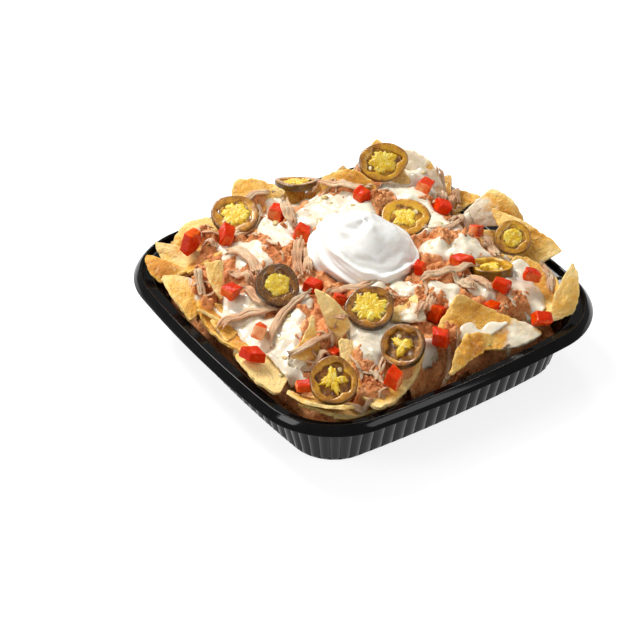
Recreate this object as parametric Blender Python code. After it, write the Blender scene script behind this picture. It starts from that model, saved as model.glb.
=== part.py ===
"""Loaded nachos in a square black takeaway tray, in metres with +Z up.

The tray stands on Z = 0 with its middle over the origin. -Y and -X are the front sides. Lengths
below are in millimetres and angles in degrees; they become metres when an object is made.
"""

import math

import bmesh
import bpy
from mathutils import Euler, Matrix, Vector, noise
from mathutils.bvhtree import BVHTree

MM = 0.001

# The tray: a rounded square whose sides bow out a little.
HALF_WIDTH = 114.5  # middle of the tray to the middle of a side's lip
SIDE_RADIUS = 834.0  # of the bowed sides, at the lip
CORNER_RADIUS = 50.0  # at the lip
FLUTES = 48
FLUTE_DEPTH = 1.3
SIDE_STEPS = 3  # segments of half a side
CORNER_STEPS = 6
WALL_INSET = 15.0  # where lengths along the wall are measured
# The moulded section, each as (inset from the lip, height), from the floor inside to the underside.
INSIDE = ((26.0, 1.0), (24.2, 2.2), (15.6, 33.0), (12.2, 36.6), (6.4, 36.9))
RIDGE = ((5.2, 40.5), (4.1, 41.0), (1.7, 38.4), (0.0, 35.4))
UNDERSIDE = ((1.0, 35.4), (2.7, 37.5), (4.8, 39.7), (7.4, 35.9), (11.2, 35.6))
OUTER_WALL = ((13.4, 34.2), (22.0, 1.3))
BASE_INSET = 23.1

# The heap of beans, meat and sauce that fills it.
HEAP_FOOT = ((26.6, 1.4), (24.8, 2.6), (17.2, 29.0))
HEAP_RINGS = (0.985, 0.86, 0.68, 0.48, 0.25)  # shares of the way out to the foot's top
HEAP_EDGE = 38.0
HEAP_TOP = 54.0
HEAP_REACH = 100.0  # how far out the heap falls to its edge height
HEAP_POWER = 2.5
HEAP_LEAN_BACK = 0.07  # it climbs to the back, and falls a little to the front
HEAP_LEAN_FRONT = 0.03
LUMP_SIZE = 17.0
LUMP_HEIGHT = 3.0

ROOM = 0.42  # left free round a piece
LIFT = 0.4  # step by which a piece is raised off what it would touch
WELD = 1e-6  # metres
CHIP_THICKNESS = 1.9
CHIP_CUTS = 3
CORNER_SPREAD = 2 / 3  # sum of squares by which a corner's three shares differ from a third each

# Corners (x, y, z), then how far each edge bows out, then how far the middle bellies up.
CHIPS = (
    (((-42, 100, 48), (-72, 97, 43), (-52, 72, 38)), (5, 2, 2), 3),
    (((-86, 95, 50), (-89, 70, 39), (-62, 62, 46)), (0, 2, 3), -3),
    (((-94, 91, 45), (-97, 70, 36), (-78, 66, 40)), (3, 0, 0), 2),
    (((-101, 60, 52), (-102, 26, 39), (-74, 42, 40)), (2, 0, 2), 2),
    (((-80, 45, 61), (-81, 25, 46), (-68, 44, 58)), (2, 0, 0), 1),
    (((-92, 36, 44), (-89, -22, 38), (-58, 8, 38)), (8, 2, 2), -4),
    (((-101, -19, 46), (-98, -62, 40), (-72, -38, 38)), (4, 0, 0), 0),
    (((-98, -66, 45), (-72, -97, 43), (-66, -66, 28)), (6, 0, 0), -4),
    (((-53, -53, 56), (-60, -102, 40), (-11, -79, 48)), (4, 6, 0), -8),
    (((-53, -28, 75), (-50, -46, 44), (-40, -48, 56)), (0, 0, 4), 2),
    (((-59, -36, 65), (-80, -43, 48), (-64, -54, 40)), (-2, 0, 0), 3),
    (((6, -46, 58), (-17, -46, 50), (0, -64, 53)), (0, 2, 0), 2),
    (((23, -64, 62), (2, -72, 52), (57, -102, 44)), (0, 12, 1), -6),
    (((10, -90, 55), (-10, -101, 40), (24, -98, 50)), (3, 0, 2), 2),
    (((97, -77, 63), (68, -91, 38), (85, -94, 40)), (3, 0, 3), 3),
    (((83, -41, 53), (52, -60, 34), (77, -88, 38)), (3, 0, 15), -8),
    (((93, -4, 62), (88, -42, 36), (113, -51, 49)), (0, 0, 3), 3),
    (((103, 6, 66), (84, 15, 42), (111, -16, 51)), (2, 0, 5), 4),
    (((96, 36, 53), (88, 25, 42), (109, 24, 48)), (0, 0, 2), -4),
    (((83, 73, 68), (78, 53, 42), (92, 41, 49)), (2, 0, 8), 4),
    (((69, 80, 77), (54, 82, 44), (75, 47, 54)), (3, 0, 3), 3),
    (((25, 79, 63), (30, 60, 46), (49, 47, 57)), (3, 0, 13), 3),
    (((-18, 109, 63), (-32, 82, 42), (5, 87, 57)), (5, 0, 2), 3),
)

# Centre (x, y, z), the way the cut face looks and its tilt, radius, height over width, thickness.
JALAPENOS = (
    ((60, 62, 66), 245, 48, 15.0, 0.82, 6.0),
    ((19, 97, 52), 56, 20, 13.5, 0.95, 5.0),
    ((-35, 83, 56), 236, 25, 14.5, 0.95, 5.5),
    ((-57, 3, 60), 258, 40, 12.8, 1.0, 6.0),
    ((-25, -44, 59), 236, 28, 14.0, 0.95, 5.0),
    ((51, 26, 53), 240, 24, 15.0, 0.88, 5.5),
    ((88, -32, 57), 240, 42, 11.0, 0.95, 6.0),
    ((64, -43, 47), 56, 12, 12.6, 0.9, 7.0),
    ((-28, -80, 56), 212, 38, 12.8, 0.95, 6.5),
    ((-74, -79, 51), 236, 38, 13.6, 1.0, 5.5),
)
SLICE_SEGMENTS = 12
SLICE_LOBES = 3
SLICE_UNEVEN = 0.04  # share of the radius by which the lobes stand out
SLICE_ROOM = 0.6
# Profiles of a slice and of the room round it, each as (share of radius, share of half thickness).
SLICE_PROFILE = ((0.42, 0.8), (0.6, 0.3), (0.82, 1.0), (1.0, 0.65),
                 (1.0, -0.65), (0.82, -1.0), (0.6, -0.3), (0.42, -0.8))
SLICE_HULL = ((0.82, 1.0), (1.0, 0.9), (1.0, -0.9), (0.82, -1.0))

# Centre (x, y, z), length, width and height, then the turns about X, Y and Z.
TOMATOES = (
    ((-71, 76, 54), (12, 7, 13), (20, 10, 20)),
    ((-50, 68, 56), (11, 8, 10), (25, -15, 60)),
    ((-11, 74, 54), (9, 9, 10), (10, 0, 35)),
    ((-10, 46, 55), (11, 10, 8), (10, 5, 50)),
    ((35, 50, 60), (9, 8, 6.5), (15, 0, 10)),
    ((78, 41, 60), (12, 9, 7), (10, 5, 40)),
    ((77, 22, 54), (10, 8, 7), (20, 0, 65)),
    ((80, -7, 52), (9, 7, 7), (0, 20, 20)),
    ((25, -25, 56), (7, 6, 7), (0, 0, 30)),
    ((49, -32, 55), (10, 9, 6), (0, 0, 0)),
    ((78, -64, 53), (11, 7, 6), (0, 20, -20)),
    ((54, -64, 55), (9, 9, 7), (10, 15, 25)),
    ((-76, 22, 53), (10, 9, 7), (5, 0, 15)),
    ((-35, -1, 53), (11, 8, 7), (0, 10, 30)),
    ((-30, -21, 54), (9, 6, 6), (0, 20, -10)),
    ((12, -59, 49), (8, 8, 11), (0, 25, 20)),
    ((44, -68, 46), (9, 7, 6), (10, 0, 15)),
    ((59, -97, 47), (11, 8, 8), (25, 10, -10)),
    ((-3, -81, 52), (10, 9, 9), (5, 5, 40)),
    ((-81, -16, 50), (10, 8, 8), (10, 20, 50)),
    ((-97, -33, 50), (11, 9, 7), (0, 15, 0)),
    ((-56, -53, 46), (8, 7, 7), (0, 0, 20)),
    ((-43, -93, 49), (10, 9, 9), (15, 0, 30)),
    ((-86, -67, 43.5), (9, 7, 6), (10, 0, -20)),
)
DICE_SKEW = 0.2
DICE_BEVEL = 0.7

# The soured cream: the middle of its foot, and its rings from the foot up as (radius, height).
CREAM_PLACE = (9.0, 8.0, 47.0)
CREAM_RINGS = ((27, 0), (33, 5), (34, 10), (31, 15), (27, 18), (24, 23), (18, 28), (10, 32), (4, 34))
CREAM_SEGMENTS = 25
CREAM_LEAN = (-7.0, 5.0)  # how far its peak stands from the middle of its foot
CREAM_CURL = 1.5  # power by which the lean grows with height
CREAM_BACK = math.radians(45)  # the way its flatter side looks
CREAM_FLAT = 0.2
CREAM_SWIRLS = ((3, 4, 0.05), (5, -3, 0.03))  # (folds round it, their twist, share of the radius)

CORNER_SHIFT = HALF_WIDTH - SIDE_RADIUS
CORNER_REACH = 2 * (SIDE_RADIUS - CORNER_RADIUS) ** 2 - CORNER_SHIFT**2
CORNER_CENTRE = (CORNER_SHIFT + math.sqrt(CORNER_REACH)) / 2
SIDE_ANGLE = math.asin(CORNER_CENTRE / (SIDE_RADIUS - CORNER_RADIUS))
SIDE_LENGTH = SIDE_ANGLE * (SIDE_RADIUS - WALL_INSET)
CORNER_ANGLE = math.pi / 2 - 2 * SIDE_ANGLE
CORNER_LENGTH = CORNER_ANGLE * (CORNER_RADIUS - WALL_INSET)
QUARTER_LENGTH = 2 * SIDE_LENGTH + CORNER_LENGTH


def clear_scene():
    for obj in list(bpy.data.objects):
        bpy.data.objects.remove(obj, do_unlink=True)
    for collection in list(bpy.data.collections):
        bpy.data.collections.remove(collection)


def new_collection(name):
    collection = bpy.data.collections.new(name)
    bpy.context.scene.collection.children.link(collection)
    return collection


def principled(name, colour, roughness):
    material = bpy.data.materials.new(name)
    material.use_nodes = True
    shader = material.node_tree.nodes["Principled BSDF"]
    shader.inputs["Base Color"].default_value = (*colour, 1.0)
    shader.inputs["Roughness"].default_value = roughness
    return material


def make_object(name, bm, collection, material=None, smooth_angle=None):
    """An object in metres whose origin is the middle of its mesh's box."""
    low = Vector([min(vert.co[axis] for vert in bm.verts) for axis in range(3)])
    high = Vector([max(vert.co[axis] for vert in bm.verts) for axis in range(3)])
    middle = (low + high) / 2
    mesh = bpy.data.meshes.new(name)
    bm.to_mesh(mesh)
    mesh.transform(Matrix.Scale(MM, 4) @ Matrix.Translation(-middle))
    if smooth_angle is not None:
        mesh.shade_smooth()
        mesh.set_sharp_from_angle(angle=math.radians(smooth_angle))
    obj = bpy.data.objects.new(name, mesh)
    obj.location = middle * MM
    collection.objects.link(obj)
    if material:
        mesh.materials.append(material)
    return obj


def along_outline(inset, distance):
    """The point of the tray's outline, this far inside its lip, at a distance along the wall."""
    turn, rest = divmod(distance, QUARTER_LENGTH)
    if rest < SIDE_LENGTH:
        angle = rest / (SIDE_RADIUS - WALL_INSET)
        centre = Vector((CORNER_SHIFT, 0, 0))
        radius = SIDE_RADIUS - inset
    elif rest < SIDE_LENGTH + CORNER_LENGTH:
        angle = SIDE_ANGLE + (rest - SIDE_LENGTH) / (CORNER_RADIUS - WALL_INSET)
        centre = Vector((CORNER_CENTRE, CORNER_CENTRE, 0))
        radius = CORNER_RADIUS - inset
    else:
        angle = math.pi / 2 - (QUARTER_LENGTH - rest) / (SIDE_RADIUS - WALL_INSET)
        centre = Vector((0, CORNER_SHIFT, 0))
        radius = SIDE_RADIUS - inset
    point = centre + radius * Vector((math.cos(angle), math.sin(angle), 0))
    return Matrix.Rotation(turn * math.pi / 2, 3, "Z") @ point


def outline_steps():
    """Distances along the wall: few on the sides, more round the corners."""
    quarter = [SIDE_LENGTH * step / SIDE_STEPS for step in range(SIDE_STEPS)]
    quarter += [SIDE_LENGTH + CORNER_LENGTH * step / CORNER_STEPS for step in range(CORNER_STEPS)]
    start = SIDE_LENGTH + CORNER_LENGTH
    quarter += [start + SIDE_LENGTH * step / SIDE_STEPS for step in range(SIDE_STEPS)]
    return [turn * QUARTER_LENGTH + distance for turn in range(4) for distance in quarter]


def start_loop(bm, count, place):
    """Adds a flat face whose corner number k is at place(k), and gives its edges."""
    step = bm.verts.layers.int.get("step") or bm.verts.layers.int.new("step")
    corners = bmesh.ops.create_circle(bm, cap_ends=True, segments=count, radius=1)["verts"]
    for number, vert in enumerate(corners):
        vert[step] = number
        vert.co = place(number)
    return list({edge for vert in corners for edge in vert.link_edges})


def next_loop(bm, edges, place):
    """Extrudes a loop of edges and puts its new corner number k at place(k)."""
    step = bm.verts.layers.int["step"]
    made = bmesh.ops.extrude_edge_only(bm, edges=edges)["geom"]
    corners = {item for item in made if isinstance(item, bmesh.types.BMVert)}
    for vert in corners:
        vert.co = place(vert[step])
    sides = [item for item in made if isinstance(item, bmesh.types.BMEdge)]
    return [edge for edge in sides if corners.issuperset(edge.verts)]


def loop_corners(bm, edges):
    step = bm.verts.layers.int["step"]
    return sorted({vert for edge in edges for vert in edge.verts}, key=lambda vert: vert[step])


def zip_loops(bm, first, first_at, second, second_at):
    """Fills between two loops of unlike counts, whose corners lie at these distances round them."""
    length = 4 * QUARTER_LENGTH
    i = j = 0
    while i < len(first) or j < len(second):
        next_first = first_at[(i + 1) % len(first)] + length * ((i + 1) // len(first))
        next_second = second_at[(j + 1) % len(second)] + length * ((j + 1) // len(second))
        a, b = first[i % len(first)], second[j % len(second)]
        if j >= len(second) or (i < len(first) and next_first <= next_second):
            bm.faces.new((a, first[(i + 1) % len(first)], b))
            i += 1
        else:
            bm.faces.new((a, second[(j + 1) % len(second)], b))
            j += 1


def level(inset, height, distances):
    """Places corner number k on the tray's outline, moved in by inset, at a height."""
    return lambda k: along_outline(inset, distances[k]) + Vector((0, 0, height))


def fluted(inset, height, distances):
    """The same, with every second corner a flute's depth further in."""
    def place(k):
        return along_outline(inset + FLUTE_DEPTH * (k % 2), distances[k]) + Vector((0, 0, height))

    return place


def tray_mesh():
    """The moulded sheet: out over the rim and back under it, then down the fluted wall."""
    bm = bmesh.new()
    steps = outline_steps()
    edges = start_loop(bm, len(steps), level(*INSIDE[0], steps))
    for inset, height in INSIDE[1:] + RIDGE + UNDERSIDE:
        edges = next_loop(bm, edges, level(inset, height, steps))
    under = loop_corners(bm, edges)
    flutes = [4 * QUARTER_LENGTH * k / (2 * FLUTES) for k in range(2 * FLUTES)]
    edges = start_loop(bm, len(flutes), level(BASE_INSET, 0, flutes))
    for inset, height in reversed(OUTER_WALL):
        edges = next_loop(bm, edges, fluted(inset, height, flutes))
    zip_loops(bm, loop_corners(bm, edges), flutes, under, steps)
    bmesh.ops.recalc_face_normals(bm, faces=bm.faces)
    return bm


def heap_height(x, y):
    """A square dome with lumps on it."""
    share = min((x**4 + y**4) ** 0.25 / HEAP_REACH, 1)
    lean = (HEAP_LEAN_BACK if x + y > 0 else HEAP_LEAN_FRONT) * (x + y)
    lumps = noise.noise(Vector((x, y, 0)) / LUMP_SIZE) * LUMP_HEIGHT
    return HEAP_EDGE + (HEAP_TOP - HEAP_EDGE) * (1 - share**HEAP_POWER) + lean + lumps


def crown(share, distances):
    """Places corner number k on the heap's top, at a share of the way out to its foot."""
    def place(k):
        point = along_outline(HEAP_FOOT[-1][0], distances[k]) * share
        point.z = heap_height(point.x, point.y)
        return point

    return place


def heap_mesh():
    bm = bmesh.new()
    steps = outline_steps()
    edges = start_loop(bm, len(steps), level(*HEAP_FOOT[0], steps))
    for inset, height in HEAP_FOOT[1:]:
        edges = next_loop(bm, edges, level(inset, height, steps))
    for share in HEAP_RINGS:
        edges = next_loop(bm, edges, crown(share, steps))
    bmesh.ops.contextual_create(bm, geom=edges)
    bmesh.ops.recalc_face_normals(bm, faces=bm.faces)
    return bm


def chip_mesh(corners, bows, belly):
    """A wedge of tortilla: a triangle with bowed edges and a belly, given its thickness."""
    a, b, c = (Vector(corner) for corner in corners)
    up = (b - a).cross(c - a).normalized()
    if up.z < 0:
        up = -up
    outward = [square_to(q - p, (p + q) / 2 - r) for p, q, r in ((a, b, c), (b, c, a), (c, a, b))]
    bm = bmesh.new()
    bmesh.ops.create_circle(bm, cap_ends=True, segments=3, radius=1)
    flat = [vert.co.copy() for vert in bm.verts]
    bmesh.ops.subdivide_edges(bm, edges=bm.edges, cuts=CHIP_CUTS, use_grid_fill=True)
    for vert in bm.verts:
        shares = barycentric(vert.co, flat)
        u, v, w = shares
        spread = sum((share - 1 / 3) ** 2 for share in shares)
        vert.co = u * a + v * b + w * c + belly * (1 - spread / CORNER_SPREAD) * up
        for share, bow, way in zip((u * v, v * w, w * u), bows, outward):
            vert.co += 4 * share * bow * way
    bmesh.ops.recalc_face_normals(bm, faces=bm.faces)
    bmesh.ops.solidify(bm, geom=bm.faces[:], thickness=CHIP_THICKNESS)
    bmesh.ops.recalc_face_normals(bm, faces=bm.faces)
    return bm


def square_to(along, side):
    """The direction of side, made square to along."""
    return (side - along * (side.dot(along) / along.length_squared)).normalized()


def barycentric(point, triangle):
    p, q, r = triangle
    whole = (q - p).cross(r - p).z
    u = (q - point).cross(r - point).z / whole
    v = (r - point).cross(p - point).z / whole
    return u, v, 1 - u - v


def slice_turn(place, looks, tilt):
    """The matrix that stands a slice, made about Z, at its place with its face turned this way."""
    lean = Matrix.Rotation(math.radians(looks), 4, "Z") @ Matrix.Rotation(math.radians(tilt), 4, "Y")
    return Matrix.Translation(place) @ lean


def slice_mesh(place, looks, tilt, radius, ratio, thickness, profile):
    """A slice of pepper: a profile of (share of radius, share of half thickness) turned about Z."""
    def ring(share, height):
        def place_corner(k):
            angle = 2 * math.pi * k / SLICE_SEGMENTS
            uneven = 1 + SLICE_UNEVEN * math.sin(SLICE_LOBES * angle + looks + place[0])
            reach = share * radius * uneven
            across = Vector((ratio * reach * math.cos(angle), reach * math.sin(angle), 0))
            return across + Vector((0, 0, height * thickness / 2))

        return place_corner

    bm = bmesh.new()
    edges = start_loop(bm, SLICE_SEGMENTS, ring(*profile[0]))
    for share, height in profile[1:]:
        edges = next_loop(bm, edges, ring(share, height))
    bmesh.ops.contextual_create(bm, geom=edges)
    bmesh.ops.transform(bm, matrix=slice_turn(place, looks, tilt), verts=bm.verts)
    bmesh.ops.recalc_face_normals(bm, faces=bm.faces)
    return bm


def dice_mesh(place, size, turns, grow, bevel):
    """A dice of tomato, cut a little askew, with softened edges."""
    bm = bmesh.new()
    bmesh.ops.create_cube(bm, size=1)
    shear = Matrix.Identity(4)
    shear[0][1] = DICE_SKEW * math.sin(place[0])
    shear[1][2] = DICE_SKEW * math.cos(place[1])
    grown = Matrix.Diagonal([side + 2 * grow for side in size]).to_4x4()
    bmesh.ops.transform(bm, matrix=shear @ grown, verts=bm.verts)
    if bevel:
        bmesh.ops.bevel(bm, geom=bm.edges[:], offset=bevel, segments=1, affect="EDGES",
                        profile=0.5, material=-1)
    turn = Euler([math.radians(angle) for angle in turns]).to_matrix().to_4x4()
    bmesh.ops.transform(bm, matrix=Matrix.Translation(place) @ turn, verts=bm.verts)
    bmesh.ops.recalc_face_normals(bm, faces=bm.faces)
    return bm


def cream_mesh():
    """A dollop put down with a twist: rings that shrink, lean and swirl as they rise."""
    top = CREAM_RINGS[-1][1]

    def ring(radius, height):
        def place(k):
            angle = 2 * math.pi * k / CREAM_SEGMENTS
            rise = height / top
            swirls = [depth * math.sin(folds * angle + twist * rise)
                      for folds, twist, depth in CREAM_SWIRLS]
            flat = 1 - CREAM_FLAT * max(0, math.cos(angle - CREAM_BACK))
            reach = radius * (1 + sum(swirls)) * flat
            lean = Vector((*CREAM_LEAN, 0)) * rise**CREAM_CURL
            around = Vector((reach * math.cos(angle), reach * math.sin(angle), height))
            return Vector(CREAM_PLACE) + around + lean

        return place

    bm = bmesh.new()
    edges = start_loop(bm, CREAM_SEGMENTS, ring(*CREAM_RINGS[0]))
    for radius, height in CREAM_RINGS[1:]:
        edges = next_loop(bm, edges, ring(radius, height))
    bmesh.ops.contextual_create(bm, geom=edges)
    bmesh.ops.recalc_face_normals(bm, faces=bm.faces)
    return bm


def swollen(bm, by):
    """A copy of the mesh with its surface moved out."""
    copy = bm.copy()
    copy.normal_update()
    moved = [vert.co + vert.normal * by for vert in copy.verts]
    for vert, co in zip(copy.verts, moved):
        vert.co = co
    return copy


def settle(bm, laid):
    """Lifts a piece until it is clear of the ones already laid; gives the height it rose."""
    lifted = 0
    while any(tree.overlap(BVHTree.FromBMesh(swollen(bm, ROOM))) for tree in laid):
        bmesh.ops.translate(bm, vec=(0, 0, LIFT), verts=bm.verts)
        lifted += LIFT
    laid.append(BVHTree.FromBMesh(bm))
    return lifted


def add_cutter(name, bm, collection):
    cutter = make_object(name, bm, collection)
    cutter.hide_render = True
    cutter.display_type = "WIRE"


def keep_largest(mesh):
    """Drops the crumbs that carving leaves, so that one body stays."""
    bm = bmesh.new()
    bm.from_mesh(mesh)
    bmesh.ops.remove_doubles(bm, verts=bm.verts, dist=WELD)
    unseen = set(bm.faces)
    islands = []
    while unseen:
        front = [unseen.pop()]
        island = list(front)
        while front:
            near = {face for edge in front.pop().edges for face in edge.link_faces} & unseen
            unseen -= near
            front += near
            island += near
        islands.append(island)
    islands.sort(key=len)
    for island in islands[:-1]:
        bmesh.ops.delete(bm, geom=island, context="FACES")
    bm.to_mesh(mesh)


def carve(heap, cutters):
    cut = heap.modifiers.new("carve", "BOOLEAN")
    cut.operand_type = "COLLECTION"
    cut.collection = cutters
    cut.operation = "DIFFERENCE"
    graph = bpy.context.evaluated_depsgraph_get()
    carved = bpy.data.meshes.new_from_object(heap.evaluated_get(graph))
    heap.modifiers.clear()
    heap.data = carved
    keep_largest(carved)


def lay_chips(parts, cutters, laid):
    corn = principled("corn_chip", (0.75, 0.48, 0.17), 0.6)
    for number, chip in enumerate(CHIPS, 1):
        bm = chip_mesh(*chip)
        settle(bm, laid)
        make_object(f"chip_{number:02d}", bm, parts, corn, 40)
        add_cutter(f"chip_{number:02d}_room", swollen(bm, ROOM), cutters)


def lay_cream(parts, cutters, laid):
    white = principled("soured_cream", (0.85, 0.84, 0.8), 0.35)
    bm = cream_mesh()
    settle(bm, laid)
    make_object("soured_cream", bm, parts, white, 60)
    add_cutter("soured_cream_room", swollen(bm, ROOM), cutters)


def lay_jalapenos(parts, cutters, laid):
    pepper = principled("pickled_pepper", (0.25, 0.19, 0.02), 0.3)
    for number, pepper_slice in enumerate(JALAPENOS, 1):
        bm = slice_mesh(*pepper_slice, SLICE_PROFILE)
        lifted = settle(bm, laid)
        make_object(f"jalapeno_{number:02d}", bm, parts, pepper, 30)
        room = slice_mesh(*pepper_slice, SLICE_HULL)
        bmesh.ops.translate(room, vec=(0, 0, lifted), verts=room.verts)
        add_cutter(f"jalapeno_{number:02d}_room", swollen(room, SLICE_ROOM), cutters)


def lay_tomatoes(parts, cutters, laid):
    red = principled("tomato", (0.78, 0.08, 0.01), 0.3)
    for number, (place, size, turns) in enumerate(TOMATOES, 1):
        bm = dice_mesh(place, size, turns, 0, DICE_BEVEL)
        lifted = settle(bm, laid)
        make_object(f"tomato_{number:02d}", bm, parts, red, 30)
        room = dice_mesh(place, size, turns, ROOM, 0)
        bmesh.ops.translate(room, vec=(0, 0, lifted), verts=room.verts)
        add_cutter(f"tomato_{number:02d}_room", room, cutters)


def main():
    clear_scene()
    parts = new_collection("nachos")
    cutters = new_collection("cutters")
    cutters.hide_render = True
    tray = tray_mesh()
    make_object("tray", tray, parts, principled("black_plastic", (0.012, 0.012, 0.013), 0.3), 30)
    laid = [BVHTree.FromBMesh(tray)]
    lay_chips(parts, cutters, laid)
    lay_cream(parts, cutters, laid)
    lay_jalapenos(parts, cutters, laid)
    lay_tomatoes(parts, cutters, laid)
    beans = principled("beans_and_meat", (0.42, 0.17, 0.07), 0.5)
    heap = make_object("heap", heap_mesh(), parts, beans, 60)
    carve(heap, cutters)


main()
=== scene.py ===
"""Loaded nachos in a square black takeaway tray: the finished look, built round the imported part.

Shapes are worked out in millimetres in the part's own frame and become metres when a piece is made.
"""

import math

import bmesh
import bpy
import numpy as np
from mathutils import Matrix, Vector, noise
from mathutils.bvhtree import BVHTree


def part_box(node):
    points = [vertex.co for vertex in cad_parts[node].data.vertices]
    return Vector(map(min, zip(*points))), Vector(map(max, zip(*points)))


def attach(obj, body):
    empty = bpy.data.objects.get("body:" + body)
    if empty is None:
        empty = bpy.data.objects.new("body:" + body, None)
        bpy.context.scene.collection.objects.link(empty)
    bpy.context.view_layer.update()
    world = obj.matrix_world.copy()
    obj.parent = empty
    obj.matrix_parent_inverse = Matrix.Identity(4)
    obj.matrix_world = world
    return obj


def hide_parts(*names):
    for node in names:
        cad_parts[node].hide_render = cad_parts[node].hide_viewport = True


MM = 0.001
PER_M = 1000.0

# The tray's outline at its lip, then the softened section as (inset from the lip, height).
SIDE_RADIUS = 834.0
CORNER_RADIUS = 50.0
WALL_INSET = 15.0
FLUTES = 96
FLUTE_DEPTH = 1.3
STEPS_A_FLUTE = 6
SECTION = ((26.0, 1.0), (24.2, 2.2), (15.6, 33.0), (12.2, 36.6), (6.4, 36.9), (5.3, 40.3), (4.1, 41.0),
           (1.7, 38.4), (0.0, 35.6), (0.5, 35.4), (1.1, 35.6), (2.9, 37.6), (4.7, 39.4), (7.4, 35.9),
           (11.2, 35.6), (13.4, 34.2), (22.0, 1.3), (23.1, 0.0))
FLUTED_FROM, FLUTED_TO = 13.0, 22.5

# The field of heights that food is laid on.
SPAN = 108.0
CELLS = 360
PITCH = 2 * SPAN / CELLS

# How the camera is turned round the tray.
VIEW_TURN = math.radians(-34.226)
VIEW_SLOPE = 0.744


# ---------------------------------------------------------------- pieces and places


def new_piece(name, bm, materials, nodes=(), sharp=None):
    """A finished piece in metres that rides on the part and stands for these nodes."""
    if not nodes:
        keep_inside(bm)
    mesh = bpy.data.meshes.new(name)
    bm.to_mesh(mesh)
    mesh.transform(Matrix.Scale(MM, 4))
    mesh.shade_smooth()
    if sharp:
        mesh.set_sharp_from_angle(angle=math.radians(sharp))
    for material in materials:
        mesh.materials.append(material)
    piece = bpy.data.objects.new(name, mesh)
    bpy.context.scene.collection.objects.link(piece)
    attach(piece, "root")
    if nodes:
        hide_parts(*nodes)
    return piece


def node_mesh(node):
    """A copy of a node's mesh in millimetres, its loose triangles joined."""
    bm = bmesh.new()
    bm.from_mesh(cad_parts[node].data)
    bmesh.ops.scale(bm, vec=(PER_M,) * 3, verts=bm.verts)
    bmesh.ops.remove_doubles(bm, verts=bm.verts, dist=0.002)
    return bm


def middle(node):
    low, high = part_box(node)
    return (low + high) / 2 * PER_M


def near(node, dx, dy):
    """A place in plan, this far from the middle of a node."""
    spot = middle(node)
    return spot.x + dx, spot.y + dy


def names(kind):
    return sorted(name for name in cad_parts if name.startswith(kind))


def refined(bm, levels):
    """The mesh after Catmull-Clark subdivision, with its creases kept."""
    mesh = bpy.data.meshes.new("shaping")
    bm.to_mesh(mesh)
    bm.free()
    shaping = bpy.data.objects.new("shaping", mesh)
    bpy.context.scene.collection.objects.link(shaping)
    smooth = shaping.modifiers.new("smooth", "SUBSURF")
    smooth.levels = smooth.render_levels = levels
    graph = bpy.context.evaluated_depsgraph_get()
    result = bmesh.new()
    result.from_mesh(shaping.evaluated_get(graph).to_mesh())
    bpy.data.objects.remove(shaping, do_unlink=True)
    bpy.data.meshes.remove(mesh)
    result.normal_update()
    return result


def start_loop(bm, count, place, cap=True):
    """A flat face, or an open loop, whose corner number k is at place(k); gives its edges."""
    step = bm.verts.layers.int.get("step") or bm.verts.layers.int.new("step")
    corners = bmesh.ops.create_circle(bm, cap_ends=cap, segments=count, radius=1)["verts"]
    for number, vert in enumerate(corners):
        vert[step] = number
        vert.co = place(number)
    return list({edge for vert in corners for edge in vert.link_edges})


def next_loop(bm, edges, place):
    """Extrudes a loop of edges and puts its new corner number k at place(k)."""
    step = bm.verts.layers.int["step"]
    made = bmesh.ops.extrude_edge_only(bm, edges=edges)["geom"]
    corners = {item for item in made if isinstance(item, bmesh.types.BMVert)}
    for vert in corners:
        vert.co = place(vert[step])
    sides = [item for item in made if isinstance(item, bmesh.types.BMEdge)]
    return [edge for edge in sides if corners.issuperset(edge.verts)]


def close_up(bm, edges):
    bmesh.ops.contextual_create(bm, geom=edges)
    bmesh.ops.recalc_face_normals(bm, faces=bm.faces)


def ripple(point, size, seed=0.0):
    """Smooth noise from -1 to 1 whose bumps are about this many millimetres across."""
    return noise.noise(Vector(point) / size + Vector((seed, 1.7 * seed, 0)))


# ---------------------------------------------------------------- fields of heights


def blurred(field, millimetres):
    share = np.fft.fftfreq(len(field))
    fall = np.exp(-2 * (math.pi * millimetres / PITCH) ** 2 * share**2)
    return np.fft.ifft2(np.fft.fft2(field) * np.outer(fall, fall)).real


def bumps(size, seed):
    """A field of smooth bumps of about this size, with a spread of one."""
    field = blurred(np.random.default_rng(seed).standard_normal((CELLS + 1, CELLS + 1)), size / 4)
    return field / field.std()


def grown(field, millimetres):
    """Each cell takes the highest value within this distance."""
    for _ in range(round(millimetres / PITCH)):
        for axis in (0, 1):
            field = np.maximum(field, np.maximum(np.roll(field, 1, axis), np.roll(field, -1, axis)))
    return field


def closed(field, millimetres):
    """Pits narrower than about twice this distance are filled."""
    return -grown(-grown(field, millimetres), millimetres)


def cell_places():
    line = np.linspace(-SPAN, SPAN, CELLS + 1)
    return np.meshgrid(line, line, indexing="ij")


def heights_of(bm, below=0.0):
    """How high a mesh stands over each cell."""
    tree = BVHTree.FromBMesh(bm)
    field = np.full((CELLS + 1, CELLS + 1), below)
    down = Vector((0, 0, -1))
    xs = [vert.co.x for vert in bm.verts]
    ys = [vert.co.y for vert in bm.verts]
    first = [max(0, int((min(side) + SPAN) / PITCH)) for side in (xs, ys)]
    last = [min(CELLS, int((max(side) + SPAN) / PITCH) + 1) for side in (xs, ys)]
    for row in range(first[0], last[0] + 1):
        for column in range(first[1], last[1] + 1):
            place = Vector((row * PITCH - SPAN, column * PITCH - SPAN, 150))
            hit = tree.ray_cast(place, down)[0]
            if hit:
                field[row, column] = hit.z
    return field


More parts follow.
